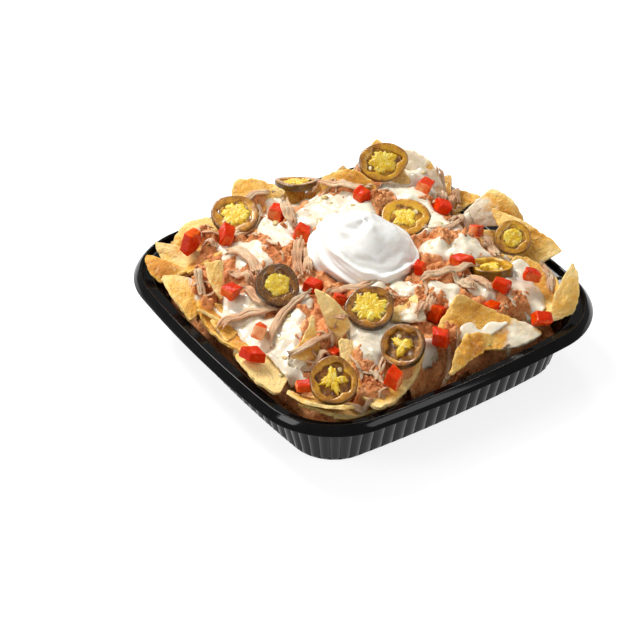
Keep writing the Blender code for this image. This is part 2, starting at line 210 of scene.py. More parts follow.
def sample(field, x, y):
    """The field's value at a place, between its cells."""
    across, along = (x + SPAN) / PITCH, (y + SPAN) / PITCH
    row = min(max(int(across), 0), CELLS - 1)
    column = min(max(int(along), 0), CELLS - 1)
    u, v = across - row, along - column
    low = field[row, column] * (1 - v) + field[row, column + 1] * v
    high = field[row + 1, column] * (1 - v) + field[row + 1, column + 1] * v
    return low * (1 - u) + high * u


def sheet(top, inside, under):
    """A closed sheet whose upper face follows a field where inside is true, this thick."""
    bm = bmesh.new()
    bmesh.ops.create_grid(bm, x_segments=CELLS, y_segments=CELLS, size=SPAN)
    outside = []
    for vert in bm.verts:
        row, column = round((vert.co.x + SPAN) / PITCH), round((vert.co.y + SPAN) / PITCH)
        vert.co.z = top[row, column]
        if not inside[row, column]:
            outside.append(vert)
    bmesh.ops.delete(bm, geom=outside, context="VERTS")
    loose = [vert for vert in bm.verts if not vert.link_faces]
    bmesh.ops.delete(bm, geom=loose, context="VERTS")
    made = bmesh.ops.extrude_face_region(bm, geom=bm.faces[:])["geom"]
    lower = [item for item in made if isinstance(item, bmesh.types.BMVert)]
    bmesh.ops.translate(bm, vec=(0, 0, -under), verts=lower)
    bmesh.ops.recalc_face_normals(bm, faces=bm.faces)
    return bm


# ---------------------------------------------------------------- the tray


class Outline:
    """The tray's rounded square with bowed sides."""

    def __init__(self, half_width):
        self.shift = half_width - SIDE_RADIUS
        reach = 2 * (SIDE_RADIUS - CORNER_RADIUS) ** 2 - self.shift**2
        self.corner = (self.shift + math.sqrt(reach)) / 2
        self.angle = math.asin(self.corner / (SIDE_RADIUS - CORNER_RADIUS))
        self.side = self.angle * (SIDE_RADIUS - WALL_INSET)
        self.bend = (math.pi / 2 - 2 * self.angle) * (CORNER_RADIUS - WALL_INSET)
        self.quarter = 2 * self.side + self.bend

    def point(self, inset, distance):
        turn, rest = divmod(distance, self.quarter)
        if rest < self.side:
            angle = rest / (SIDE_RADIUS - WALL_INSET)
            centre, radius = Vector((self.shift, 0, 0)), SIDE_RADIUS - inset
        elif rest < self.side + self.bend:
            angle = self.angle + (rest - self.side) / (CORNER_RADIUS - WALL_INSET)
            centre, radius = Vector((self.corner, self.corner, 0)), CORNER_RADIUS - inset
        else:
            angle = math.pi / 2 - (self.quarter - rest) / (SIDE_RADIUS - WALL_INSET)
            centre, radius = Vector((0, self.shift, 0)), SIDE_RADIUS - inset
        place = centre + radius * Vector((math.cos(angle), math.sin(angle), 0))
        return Matrix.Rotation(turn * math.pi / 2, 3, "Z") @ place

    def insets(self, x, y):
        """How far inside the lip each of these places lies."""
        x, y = np.abs(x), np.abs(y)
        sides = np.minimum(SIDE_RADIUS - np.hypot(x - self.shift, y), SIDE_RADIUS - np.hypot(x, y - self.shift))
        bend = CORNER_RADIUS - np.hypot(x - self.corner, y - self.corner)
        turned = np.arctan2(y - self.corner, x - self.corner)
        in_bend = (turned > self.angle) & (turned < math.pi / 2 - self.angle)
        return np.where(in_bend, bend, sides)


def softened(points, radius, steps):
    """A line with each inner corner rounded."""
    line = [Vector(points[0])]
    for before, corner, after in zip(points, points[1:], points[2:]):
        corner = Vector(corner)
        back, on = Vector(before) - corner, Vector(after) - corner
        start = corner + back * min(radius / back.length, 0.45)
        end = corner + on * min(radius / on.length, 0.45)
        for number in range(steps + 1):
            t = number / steps
            line.append((1 - t) ** 2 * start + 2 * t * (1 - t) * corner + t**2 * end)
    return line + [Vector(points[-1])]


def flute(number):
    """How deep the wall lies at this step round the tray: round ribs with narrow grooves."""
    turn = (number / STEPS_A_FLUTE) % 1
    return FLUTE_DEPTH * (1 - math.cos(math.pi * (turn - 0.5)) ** 0.8) if turn else FLUTE_DEPTH


def tray_shell():
    count = FLUTES * STEPS_A_FLUTE
    start = 4 * outline.quarter / FLUTES / 2

    def level(inset, height):
        fluted = FLUTED_FROM < inset < FLUTED_TO and height < 34.3 and inset > 13.2

        def place(k):
            deep = inset + (flute(k) if fluted and outside else 0)
            return outline.point(deep, (start + 4 * outline.quarter * k / count) % (4 * outline.quarter)) + Vector((0, 0, height))

        return place

    bm = bmesh.new()
    line = softened(SECTION, 0.55, 3)
    outside = False
    edges = start_loop(bm, count, level(*line[0]))
    for inset, height in line[1:]:
        outside = outside or (inset < 0.2 and height < 36)
        edges = next_loop(bm, edges, level(inset, height))
    close_up(bm, edges)
    return bm


# ---------------------------------------------------------------- what fills it


# Beans and meat: a node that it lies by, the way from its middle in plan, radius, thickness.
MASH = (
    ("tomato_05", -12, 28, 8, 5), ("tomato_05", -9, 18, 8, 5), ("tomato_05", -5, 10, 6, 4),
    ("tomato_04", -27, 12, 6, 4), ("tomato_04", -24, 2, 7, 5), ("tomato_04", -20, -8, 7, 5),
    ("tomato_04", -21, -18, 4, 4), ("tomato_13", -1, 35, 6, 4), ("tomato_13", -6, 21, 7, 5),
    ("tomato_13", -9, 8, 6, 4), ("tomato_22", -15, 4, 7, 6), ("tomato_22", -10, 3, 9, 9),
    ("tomato_22", 1, 7, 7, 8), ("jalapeno_09", -27, -9, 7, 7), ("jalapeno_09", -32, -6, 5, 6), ("jalapeno_09", -22, -11, 6, 6), ("jalapeno_09", -18, 6, 8, 5),
    ("jalapeno_09", -21, -3, 7, 4), ("jalapeno_09", -4, 6, 6, 4), ("jalapeno_09", 0, -3, 6, 4),
    ("jalapeno_09", 8, -1, 5, 4), ("jalapeno_09", -17, 14, 5, 4), ("tomato_08", -24, -1, 8, 5),
    ("tomato_08", -18, -7, 7, 4), ("tomato_08", -7, -6, 7, 4), ("tomato_16", -1, 16, 7, 5),
    ("tomato_16", 6, 14, 8, 5), ("tomato_16", 9, 6, 6, 4), ("tomato_16", -13, 12, 6, 3),
    ("tomato_17", 12, 1, 8, 5), ("tomato_17", 16, -7, 8, 5), ("tomato_17", 1, -5, 6, 4),
    ("tomato_17", 18, -14, 5, 3), ("tomato_19", 10, 3, 6, 5), ("tomato_19", 9, -3, 6, 4),
    ("tomato_19", 1, -7, 5, 4), ("tomato_07", -5, 12, 6, 4), ("tomato_07", -1, 7, 6, 4),
    ("tomato_07", 9, 12, 7, 5), ("tomato_02", -6, 23, 7, 4), ("tomato_02", -1, 16, 6, 4),
    ("jalapeno_05", 20, 8, 5, 4), ("jalapeno_06", -6, 19, 6, 4), ("jalapeno_06", 1, 18, 5, 4),
    ("jalapeno_01", -10, 14, 8, 5), ("jalapeno_01", 8, 16, 7, 4), ("jalapeno_02", -20, -14, 8, 5),
    ("jalapeno_02", -32, -8, 7, 4), ("jalapeno_02", 10, -22, 8, 5), ("tomato_06", 8, 14, 7, 4),
)

# Cheese sauce: a node, the way from its middle in plan, radius, thickness.
SAUCE = (
    ("tomato_05", -37, 6, 7, 3), ("tomato_05", -25, 10, 8, 3), ("tomato_05", -17, 5, 8, 3),
    ("tomato_05", -7, 1, 7, 3), ("tomato_05", -2, -9, 6, 3), ("tomato_05", -27, -6, 6, 3),
    ("tomato_07", -20, 32, 5, 3), ("tomato_07", -16, 25, 6, 3), ("tomato_07", -14, 15, 6, 3),
    ("tomato_07", -13, 5, 6, 3), ("tomato_07", -14, -8, 7, 3), ("tomato_07", -13, -18, 6, 3),
    ("tomato_07", -22, -14, 5, 3), ("tomato_07", -8, -23, 4, 2),
    ("tomato_04", -13, 21, 5, 3), ("tomato_04", -13, 13, 6, 3), ("tomato_04", -14, 3, 6, 3),
    ("tomato_04", -14, -5, 4, 2), ("tomato_02", -4, -1, 4, 2), ("tomato_02", -1, -10, 6, 3),
    ("tomato_02", 4, -19, 7, 3), ("tomato_02", 4, -30, 5, 3), ("tomato_02", -3, -25, 4, 2),
    ("tomato_13", -3, -4, 6, 3), ("tomato_13", 2, -5, 7, 3), ("tomato_13", 4, -15, 6, 3),
    ("tomato_13", -7, -9, 5, 3), ("tomato_20", 2, 14, 6, 3), ("tomato_20", 3, 3, 6, 3),
    ("tomato_20", 13, 3, 6, 3), ("tomato_20", 14, -4, 7, 3), ("tomato_20", 21, 1, 5, 3),
    ("tomato_20", 4, -6, 5, 3), ("tomato_20", 9, -13, 5, 3), ("tomato_21", 8, -4, 6, 3),
    ("tomato_21", 13, -2, 9, 4), ("tomato_21", 17, -6, 6, 4), ("tomato_21", 3, -13, 8, 4),
    ("tomato_21", 12, -14, 7, 4), ("tomato_21", 15, -21, 5, 3), ("tomato_21", 15, -12, 5, 3),
    ("jalapeno_09", -4, 34, 7, 4), ("jalapeno_09", 5, 34, 6, 4), ("jalapeno_09", 11, 29, 6, 3),
    ("jalapeno_09", -3, 25, 7, 4), ("jalapeno_09", -12, 16, 6, 3), ("jalapeno_09", 5, 24, 6, 3),
    ("jalapeno_09", 14, 22, 4, 3), ("jalapeno_09", -13, 11, 4, 3),
    ("tomato_19", -5, 5, 4, 3), ("tomato_19", -8, -1, 4, 3),
    ("tomato_09", -17, 8, 6, 3), ("tomato_09", -19, -6, 5, 3), ("tomato_09", -17, -12, 4, 2),
    ("tomato_09", -33, 0, 5, 3), ("tomato_10", -6, 22, 5, 3), ("tomato_10", -3, 16, 5, 3),
    ("tomato_10", 3, 9, 4, 3), ("tomato_10", 12, 11, 6, 4), ("tomato_10", 20, 9, 6, 4),
    ("tomato_10", 22, 2, 4, 3), ("tomato_16", 11, 16, 4, 2), ("tomato_16", 11, 10, 4, 2),
    ("tomato_16", 18, 12, 4, 2), ("tomato_16", 33, 5, 4, 2), ("tomato_16", 36, -2, 3, 2),
    ("tomato_16", 12, 4, 4, 2), ("tomato_11", 6, 30, 5, 3), ("tomato_11", 5, 18, 7, 3),
    ("tomato_11", 1, 17, 6, 3), ("tomato_11", -2, 7, 7, 4), ("tomato_11", -3, -1, 6, 4),
    ("tomato_11", -8, -10, 5, 3), ("tomato_11", -8, -18, 5, 3), ("tomato_11", -3, -21, 3, 2),
    ("tomato_11", -11, 7, 5, 3), ("tomato_11", 11, 12, 4, 2), ("tomato_11", 14, 6, 3, 2),
    ("tomato_18", -40, 18, 5, 2), ("tomato_18", -34, 9, 5, 2), ("tomato_18", -27, 11, 6, 3),
    ("tomato_18", -18, 9, 6, 3), ("tomato_18", -10, 7, 5, 2), ("tomato_18", 3, 11, 4, 2),
    ("tomato_18", -26, 6, 5, 2), ("tomato_18", -15, 4, 4, 2), ("tomato_14", -10, 1, 5, 3),
    ("tomato_14", -12, -7, 4, 2), ("tomato_14", -16, -2, 4, 2),
    ("jalapeno_01", 20, -10, 6, 3), ("jalapeno_01", 14, -22, 5, 3), ("jalapeno_02", -12, -12, 6, 3),
    ("jalapeno_02", -2, -14, 7, 3), ("jalapeno_02", 8, -12, 5, 3), ("tomato_06", 10, 10, 5, 3),
    ("tomato_06", 12, 0, 5, 3), ("tomato_03", 6, 8, 6, 3), ("tomato_03", 14, 14, 5, 3),
    ("jalapeno_01", 4, 14, 7, 3), ("jalapeno_01", 16, 8, 7, 3), ("chip_21", 14, 0, 7, 3), ("chip_21", 20, -12, 6, 3),
    ("jalapeno_03", 12, 4, 6, 3), ("chip_18", -6, 12, 6, 3),
)


SAUCE_SWELL = 1.25


def dollops(blobs, ragged, seed, swell=1.0):
    """Fields of how deep inside the blobs each cell lies, as a share, and of their thickness."""
    x, y = cell_places()
    x = x + ragged * bumps(9, seed) + 0.25 * ragged * bumps(4, seed + 1)
    y = y + ragged * bumps(9, seed + 2) + 0.25 * ragged * bumps(4, seed + 3)
    inside = np.full_like(x, -1.0)
    thick = np.zeros_like(x)
    weight = np.full_like(x, 1e-9)
    for node, dx, dy, radius, depth in blobs:
        at_x, at_y = near(node, dx, dy)
        share = 1 - np.hypot(x - at_x, y - at_y) / radius / swell
        near_by = np.exp(4 * np.clip(share, -3, 1))
        thick += depth * near_by
        weight += near_by
        top = np.maximum(inside, share)
        low = np.minimum(inside, share)
        inside = top + 0.12 * np.exp(-((top - low) / 0.25) ** 2)
    return inside, thick / weight


def mash_relief(seed):
    """Lumps on lumps, round on top with creases between."""
    coarse = np.abs(bumps(11, seed)) * 2.0
    middling = np.abs(bumps(5, seed + 1)) * 1.2
    fine = np.abs(bumps(2.6, seed + 2)) * 0.65
    return coarse + middling + fine


def undersides():
    """How low the toppings that lie on the food reach over each cell; far up where there are none."""
    field = np.full((CELLS + 1, CELLS + 1), 200.0)
    for node in names("jalapeno_") + names("tomato_"):
        bm = node_mesh(node)
        tree = BVHTree.FromBMesh(bm)
        low, high = (corner * PER_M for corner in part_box(node))
        bm.free()
        for row in range(int((low.x + SPAN) / PITCH), int((high.x + SPAN) / PITCH) + 2):
            for column in range(int((low.y + SPAN) / PITCH), int((high.y + SPAN) / PITCH) + 2):
                place = Vector((row * PITCH - SPAN, column * PITCH - SPAN, 0))
                hit = tree.ray_cast(place, Vector((0, 0, 1)))[0]
                if hit and row <= CELLS and column <= CELLS:
                    field[row, column] = hit.z
    return -grown(-field, 0.7)


def kept_in_view(field, reach=13.0):
    """How high food may lie without hiding what starts at these heights from the front corner."""
    limit = field
    toward = Vector((math.sin(VIEW_TURN), -math.cos(VIEW_TURN), 0))
    for number in range(1, int(reach / PITCH)):
        shift = (round(number * toward.x), round(number * toward.y))
        limit = np.minimum(limit, np.roll(field, shift, (0, 1)) + number * PITCH * VIEW_SLOPE)
    return limit


def core_field():
    """The top of what fills the tray: the solid's, lower where it meets the wall."""
    rise = np.clip((inset_of - 24) / 15, 0, 1)
    rise = rise * rise * (3 - 2 * rise)
    field = 16 + (np.maximum(blurred(heap_top, 2), 16) - 16) * rise
    return field - 2.4 + mash_relief(11) * (0.4 + 0.6 * rise)


def core_mesh(field):
    """The filling: a grid pulled to the tray's outline, with a skirt and a flat foot."""
    around = [outline.point(21, 4 * outline.quarter * k / 720) for k in range(720)]
    turned = np.array([math.atan2(place.y, place.x) for place in around])
    reach = np.array([place.length for place in around])
    order = np.argsort(turned)
    bm = bmesh.new()
    bmesh.ops.create_grid(bm, x_segments=210, y_segments=210, size=1)
    for vert in bm.verts:
        flat = Vector((vert.co.x, vert.co.y))
        if flat.length > 1e-6:
            edge = np.interp(math.atan2(flat.y, flat.x), turned[order], reach[order], period=2 * math.pi)
            flat = flat.normalized() * max(abs(flat.x), abs(flat.y)) * edge
        vert.co = (flat.x, flat.y, sample(field, flat.x, flat.y))
    rim = [edge for edge in bm.edges if edge.is_boundary]
    for inset, height in ((2.5, 9), (4, 2.2)):
        made = bmesh.ops.extrude_edge_only(bm, edges=rim)["geom"]
        corners = {item for item in made if isinstance(item, bmesh.types.BMVert)}
        for vert in corners:
            flat = vert.co.copy()
            flat.z = 0
            vert.co = flat * (1 - inset / 2 / flat.length)
            vert.co.z = height
        rim = [item for item in made if isinstance(item, bmesh.types.BMEdge) and corners.issuperset(item.verts)]
    close_up(bm, rim)
    return bm


def laid_mash(ground):
    inside, thick = dollops(MASH, 1.3, 31)
    edge = np.sqrt(np.clip(inside, 0, 1)) - 1.2 * np.clip(-inside, 0, 1)
    base = blurred(ground, 2.5)
    lumps = mash_relief(37) * np.clip(edge + 0.2, 0, 1)
    top = np.minimum(base + thick * edge - 0.8, blurred(np.maximum(heap_top, ground), 1.5) + 1.5) + lumps
    return np.minimum(top, open_cap + 0.8), (inside > -0.25) & (inset_of > 19)


def laid_sauce(ground):
    inside, thick = dollops(SAUCE, 0.8, 53, SAUCE_SWELL)
    edge = np.clip(inside, 0, 1) ** 0.42 - 2.0 * np.clip(-inside, 0, 1)
    base = blurred(closed(ground, 4), 1.7) - 0.5
    top = blurred(base + thick * edge * (0.86 + 0.12 * bumps(9, 59)), 0.5)
    return np.minimum(top, open_cap + 1.2), (inside > -0.3) & (inset_of > 27) & (top > 35)


# ---------------------------------------------------------------- chips


# Sauce smeared on a chip: share along the chip's box in x, y and z, and radius.
SMEARS = {
    "chip_04": ((0.9, 0.35, 0.35, 15), (0.75, 0.7, 0.5, 9)),
    "chip_18": ((0.2, 0.85, 0.45, 16), (0.45, 0.55, 0.25, 12)),
    "chip_20": ((0.6, 0.75, 0.7, 15), (0.7, 0.4, 0.35, 13)),
    "chip_13": ((0.75, 0.15, 0.25, 12), (0.35, 0.3, 0.55, 9)),
    "chip_12": ((0.55, 0.3, 0.3, 9),),
    "chip_22": ((0.8, 0.2, 0.1, 7),),
}
# How brown each chip is, from pale to golden brown; those not named lie between.
TONES = {"chip_01": 0.35, "chip_02": 0.15, "chip_03": 0.95, "chip_04": 0.4, "chip_05": 0.05, "chip_06": 0.85,
         "chip_07": 0.3, "chip_08": 0.25, "chip_09": 0.2, "chip_10": 0.1, "chip_11": 0.45, "chip_12": 0.3,
         "chip_13": 0.6, "chip_14": 0.75, "chip_15": 0.35, "chip_16": 0.55, "chip_17": 0.5, "chip_18": 0.4,
         "chip_19": 0.8, "chip_20": 0.6, "chip_21": 0.55, "chip_22": 0.75, "chip_23": 0.5}
# How far down from its top each of these chips is kept clear of beans and sauce.
SHOWN = {"chip_10": 12, "chip_11": 9, "chip_05": 13, "chip_12": 5}
BLISTERED = {"chip_14": 1.6, "chip_13": 0.5, "chip_07": 0.8, "chip_11": 0.7}

# Small chips that lie half buried: a node, the way from its middle, turn, lean, tip, length.
TUCKED = (
    ("tomato_20", -8, 36, 41, 195, 30, 22), ("tomato_20", -9, 22, 40, 150, 25, 20),
    ("chip_01", -5, -2, 44, 60, 30, 26), ("jalapeno_10", 6, -8, 34, 240, 14, 32),
    ("jalapeno_10", -6, 4, 34, 200, 24, 26), ("jalapeno_02", -3, 6, 45, 95, 42, 17), ("jalapeno_02", -8, -8, 42, 110, 40, 26), ("jalapeno_02", -3, -5, 43, 80, 45, 26),
    ("jalapeno_06", -2, -30, 53, 30, 10, 22), ("chip_19", -6, 12, 42, 60, 25, 34),
    ("chip_19", -4, 28, 38, 50, 22, 34), ("chip_21", 22, 8, 42, 45, 25, 34),
    ("jalapeno_02", 30, -6, 42, 80, 22, 34), ("jalapeno_02", 14, -4, 40, 95, 20, 34),
    ("chip_23", 4, -6, 40, 100, 22, 30), ("chip_01", -22, 0, 38, 120, 24, 32),
    ("tomato_06", 20, 8, 44, 50, 25, 30), ("jalapeno_01", 8, 28, 44, 70, 20, 34),
    ("tomato_21", 6, 14, 36, 190, 20, 28), ("chip_15", -10, 10, 38, 320, 20, 30),
    ("chip_17", -8, 20, 40, 10, 20, 30),
)
# Larger chips down the back slope: place in plan, height, turn, lean, length.
BACKS = (
    (-62, 72, 43, 110, -22, 40), (-38, 74, 44, 95, -26, 42), (-12, 74, 43, 90, -20, 42), (10, 72, 45, 85, -28, 40),
    (34, 75, 43, 90, -22, 42), (56, 74, 44, 70, -26, 40), (70, 66, 44, 45, -20, 42), (74, 46, 43, 15, -26, 42),
    (75, 24, 43, 5, -22, 40), (74, 2, 44, -5, -26, 42), (76, -22, 43, 0, -20, 38), (-24, 80, 38, 90, -34, 36),
    (22, 80, 38, 95, -34, 36), (46, 80, 38, 80, -34, 36), (80, 36, 38, 10, -34, 36), (80, 10, 38, 0, -34, 36),
)


def chip_base(node):
    """A chip's solid as four-sided faces, its rim and corners creased."""
    bm = node_mesh(node)
    return creased(bm)


def creased(bm):
    rims = bm.verts.layers.float.new("rim")
    creases = bm.edges.layers.float.get("crease_edge") or bm.edges.layers.float.new("crease_edge")
    for edge in bm.edges:
        if edge.calc_face_angle(0) > 0.7:
            short = edge.calc_length() < 3
            edge[creases] = 0.3 if short else 0.85
            if not short:
                for vert in edge.verts:
                    vert[rims] = 1
    bmesh.ops.join_triangles(bm, faces=bm.faces, angle_face_threshold=0.5, angle_shape_threshold=1.2)
    return bm


def crisp(bm, seed, levels, blister, tone, smears):
    """Fried: rippled, blistered, with ragged edges, and marked for its finish."""
    bm = refined(bm, levels)
    spots = [vert.co.copy() for vert in bm.verts]
    cloud = np.array([tuple(co) for co in spots])
    face_way = Vector(np.linalg.svd(cloud - cloud.mean(axis=0), full_matrices=False)[2][2])
    tones = bm.verts.layers.float.new("tone")
    sauces = bm.verts.layers.float.new("sauce")
    for vert in bm.verts:
        co, out = vert.co.copy(), vert.normal.copy()
        wave = 0.9 * ripple(co, 15, seed) + 0.35 * ripple(co, 6, seed + 3)
        bubble = max(0.0, ripple(co, 5.5, seed + 5) - 0.1) * 1.7 * blister + 0.13 * ripple(co, 1.4, seed)
        jag = noise.noise_vector(co / 3.2 + Vector((seed, 0, 0))) * 0.75
        jag -= face_way * jag.dot(face_way)
        vert.co = co + face_way * wave + out * bubble + jag
        vert[tones] = tone
        vert[sauces] = 0.0
        for centre, radius in smears:
            reach = 1 - (co - centre).length / radius + 0.35 * ripple(co, 6, seed + 9) + 0.15 * ripple(co, 2.5, seed)
            vert[sauces] = max(vert[sauces], min(1.0, max(0.0, reach * 5)))
        vert.co += out * 0.5 * vert[sauces]
    bm.normal_update()
    return bm


def chips():
    """The chips that have nodes of their own."""
    made = []
    for number, node in enumerate(names("chip_")):
        low, high = (corner * PER_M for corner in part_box(node))
        smears = [(Vector((low.x + u * (high.x - low.x), low.y + v * (high.y - low.y), low.z + w * (high.z - low.z))), r)
                  for u, v, w, r in SMEARS.get(node, ())]
        long_side = (high - low).length
        bm = crisp(chip_base(node), 3.1 * number, 4 if long_side > 38 else 3, BLISTERED.get(node, 0.6),
                   TONES[node], smears)
        new_piece("corn_" + node, bm, [corn], [node])
        made.append((node, bm))
    return made


def keep_inside(bm):
    """Pushes a mesh in from the tray's wall and rim."""
    reach = np.array([tuple(vert.co) for vert in bm.verts])
    insets = outline.insets(reach[:, 0], reach[:, 1])
    for vert, inset in zip(bm.verts, insets):
        height = vert.co.z
        room = 17.5 + max(0.0, 33 - height) * 0.28 if height < 43 else max(8.0, 17.5 - 1.2 * (height - 43))
        if inset < room:
            flat = Vector((vert.co.x, vert.co.y, 0))
            vert.co -= flat.normalized() * (room - inset)


def tucked_chips():
    whole = bmesh.new()
    made = []
    small = [(*near(node, dx, dy), *rest) for node, dx, dy, *rest in TUCKED]
    for number, (x, y, height, turn, lean, length) in enumerate([*small, *BACKS]):
        bm = bmesh.new()
        bmesh.ops.create_circle(bm, cap_ends=True, segments=3, radius=length * 0.58)
        bmesh.ops.subdivide_edges(bm, edges=bm.edges, cuts=4, use_grid_fill=True)
        for vert in bm.verts:
            vert.co.z += 3.0 * ripple(vert.co, 26, 7.7 * number) + 0.004 * length * vert.co.x**2 / length
        bmesh.ops.solidify(bm, geom=bm.faces, thickness=1.7)
        bmesh.ops.recalc_face_normals(bm, faces=bm.faces)
        stand = (Matrix.Translation((x, y, height)) @ Matrix.Rotation(math.radians(turn), 4, "Z")
                 @ Matrix.Rotation(math.radians(-lean), 4, "Y") @ Matrix.Rotation(2.1 * number, 4, "Z"))
        bmesh.ops.transform(bm, matrix=stand, verts=bm.verts)
        bm = crisp(creased(bm), 5.3 * number + 1, 2, 0.5, 0.25 + 0.6 * ((number * 0.37) % 1), [])
        keep_inside(bm)
        made.append(("tucked", bm))
        join(whole, bm)
    new_piece("tucked_chips", whole, [corn])
    return made


def join(whole, bm):
    """Adds a mesh to another, with its layers."""
    mesh = bpy.data.meshes.new("joined")
    bm.to_mesh(mesh)
    whole.from_mesh(mesh)
    bpy.data.meshes.remove(mesh)


# ---------------------------------------------------------------- shredded pork


# Strands: a node, then points as the way from its middle and the lift, then width and thickness.
STRANDS = (
    ("tomato_03", ((-1, -20, 2), (3, -8, 5), (8, 4, 9)), 6.5, 3.0),
    ("tomato_05", ((-13, 30, 2), (-9, 20, 1), (-2, 10, 1), (8, 3, 1)), 4.2, 2.6),
    ("jalapeno_03", ((-15, -14, 1), (0, -10, 2), (13, -9, 1)), 5.0, 3.0),
    ("tomato_04", ((-8, -9, 2), (-18, -20, 3), (-27, -36, 2)), 5.5, 3.2),
    ("tomato_04", ((-5, -13, 2), (-14, -26, 2), (-22, -38, 2)), 4.5, 3.0),
    ("tomato_13", ((-22, -19, 2), (-13, -13, 3), (-4, -15, 3), (6, -23, 3), (19, -28, 2)), 4.2, 3.0),
    ("jalapeno_04", ((-23, -28, 2), (-17, -22, 3), (-6, -15, 3), (7, -11, 3), (17, -9, 3)), 3.6, 2.6),
    ("tomato_10", ((-32, -4, 2), (-22, -3, 3), (-6, -7, 4), (10, -4, 4)), 4.8, 2.6),
    ("tomato_08", ((8, 4, 6), (9, -2, 3), (4, -12, 2), (-4, -28, 2)), 5.2, 3.2),
    ("tomato_13", ((19, 36, 2), (24, 24, 3), (23, 10, 2), (21, 5, 1)), 6.0, 3.4),
    ("tomato_13", ((11, 19, 2), (15, 9, 2), (15, 1, 1)), 5.0, 3.0),
    ("tomato_16", ((-16, -2, 2), (-5, 4, 4), (2, 7, 7)), 4.5, 3.0),
    ("tomato_19", ((-19, -15, 2), (-10, -13, 2), (1, -8, 2)), 4.5, 2.8),
    ("jalapeno_10", ((7, -5, 3), (9, -9, 2), (10, -14, 1), (16, -15, 1)), 3.6, 2.4),
    ("tomato_18", ((-27, 1, 0), (-19, -1, 0)), 3.6, 2.4),
    ("tomato_11", ((13, 8, 1), (13, -1, 1), (8, -8, 1)), 3.6, 2.4),
    ("tomato_15", ((-2, 9, 2), (10, 3, 2), (24, -2, 2)), 4.0, 2.6),
    ("tomato_17", ((-8, 28, 2), (-6, 18, 2), (-3, 12, 3)), 3.4, 2.2),
    ("tomato_17", ((-3, 26, 2), (-3, 12, 3)), 3.4, 2.2),
    ("tomato_17", ((2, 25, 2), (4, 14, 2), (4, 6, 2)), 3.6, 2.2),
    ("tomato_22", ((8, 20, 2), (10, 10, 4), (14, 7, 4)), 3.2, 2.2),
    ("tomato_02", ((-12, 10, 3), (-8, 0, 2)), 3.2, 2.2),
    ("tomato_13", ((-3, 32, 2), (-9, 22, 2), (-12, 12, 2)), 3.4, 2.4),
    ("tomato_22", ((-24, 9, 2), (-10, 5, 3), (7, 9, 3)), 3.4, 2.4),
    ("tomato_22", ((-20, 2, 2), (-8, -1, 3), (5, 3, 3)), 3.2, 2.2),
    ("tomato_08", ((9, 32, 2), (2, 17, 2), (-11, 6, 2), (-23, 6, 2), (-30, 12, 2)), 2.6, 1.8),
    ("tomato_08", ((5, 30, 2), (-2, 15, 2), (-14, 9, 2)), 2.4, 1.8),
    ("jalapeno_04", ((-9, 23, 2), (-9, 8, 2), (-7, -2, 2)), 4.2, 2.6),
    ("tomato_07", ((6, 9, 4), (12, 16, 8)), 4.4, 3.2),
    ("tomato_07", ((11, 5, 3), (17, 14, 7)), 4.0, 3.0),
    ("jalapeno_02", ((26, 0, 2), (36, -4, 2), (46, 0, 2)), 4.4, 2.8),
    ("jalapeno_01", ((-14, 22, 2), (0, 16, 2), (16, 12, 2)), 4.6, 3.0),
    ("tomato_06", ((14, 8, 2), (18, -4, 2), (14, -16, 2)), 4.0, 2.6),
    ("tomato_03", ((8, 14, 2), (-6, 18, 2), (-22, 16, 2)), 3.8, 2.6),
)
STRAND_STEPS = 26
STRAND_SIDES = 12


def smooth_path(points, steps):
    """Points along a curve through these (Catmull-Rom)."""
    knots = [2 * points[0] - points[1], *points, 2 * points[-1] - points[-2]]
    path = []
    for number in range(steps + 1):
        place = number / steps * (len(points) - 1)
        i = min(int(place), len(points) - 2)
        t = place - i
        a, b, c, d = knots[i:i + 4]
        path.append(0.5 * (2 * b + (c - a) * t + (2 * a - 5 * b + 4 * c - d) * t**2 + (3 * b - a - 3 * c + d) * t**3))
    return path


def rope(bm, path, size, sides, seed, lobes):
    """A tapered bundle of fibres along a path, wider than it is thick."""
    around = bm.verts.layers.float_vector.get("fibre") or bm.verts.layers.float_vector.new("fibre")
    count = len(path) - 1
    run = [0.0]
    for here, there in zip(path, path[1:]):
        run.append(run[-1] + (there - here).length)
    edges = None
    for number, centre in enumerate(path):
        ahead = (path[min(number + 1, count)] - path[max(number - 1, 0)]).normalized()
        across = ahead.cross(Vector((0, 0, 1))).normalized()
        up = across.cross(ahead).normalized()
        share = number / count
        taper = min(1.0, 0.25 + 5 * share, 0.25 + 5 * (1 - share)) * (1 + 0.22 * ripple((share * 9, seed, 0), 1))

        def place(k, centre=centre, taper=taper, across=across, up=up, share=share):
            angle = 2 * math.pi * k / sides
            bundle = 1 + 0.12 * math.sin(lobes * angle + 2 * share + seed) + 0.08 * math.sin((lobes + 4) * angle - 3 * share)
            bundle += 0.16 * ripple((share * 9, 2 * math.cos(angle) + seed, 2 * math.sin(angle)), 1)
            return (centre + across * (size[0] / 2 * taper * bundle * math.cos(angle))
                    + up * (size[1] / 2 * taper * bundle * math.sin(angle)))

        before = set(bm.verts)
        edges = start_loop(bm, sides, place) if number == 0 else next_loop(bm, edges, place)
        step = bm.verts.layers.int["step"]
        for vert in set(bm.verts) - before if number == 0 else {v for e in edges for v in e.verts}:
            angle = 2 * math.pi * vert[step] / sides
            vert[around] = Vector((run[number] / 14 + seed, math.cos(angle), math.sin(angle)))
    bmesh.ops.contextual_create(bm, geom=edges)


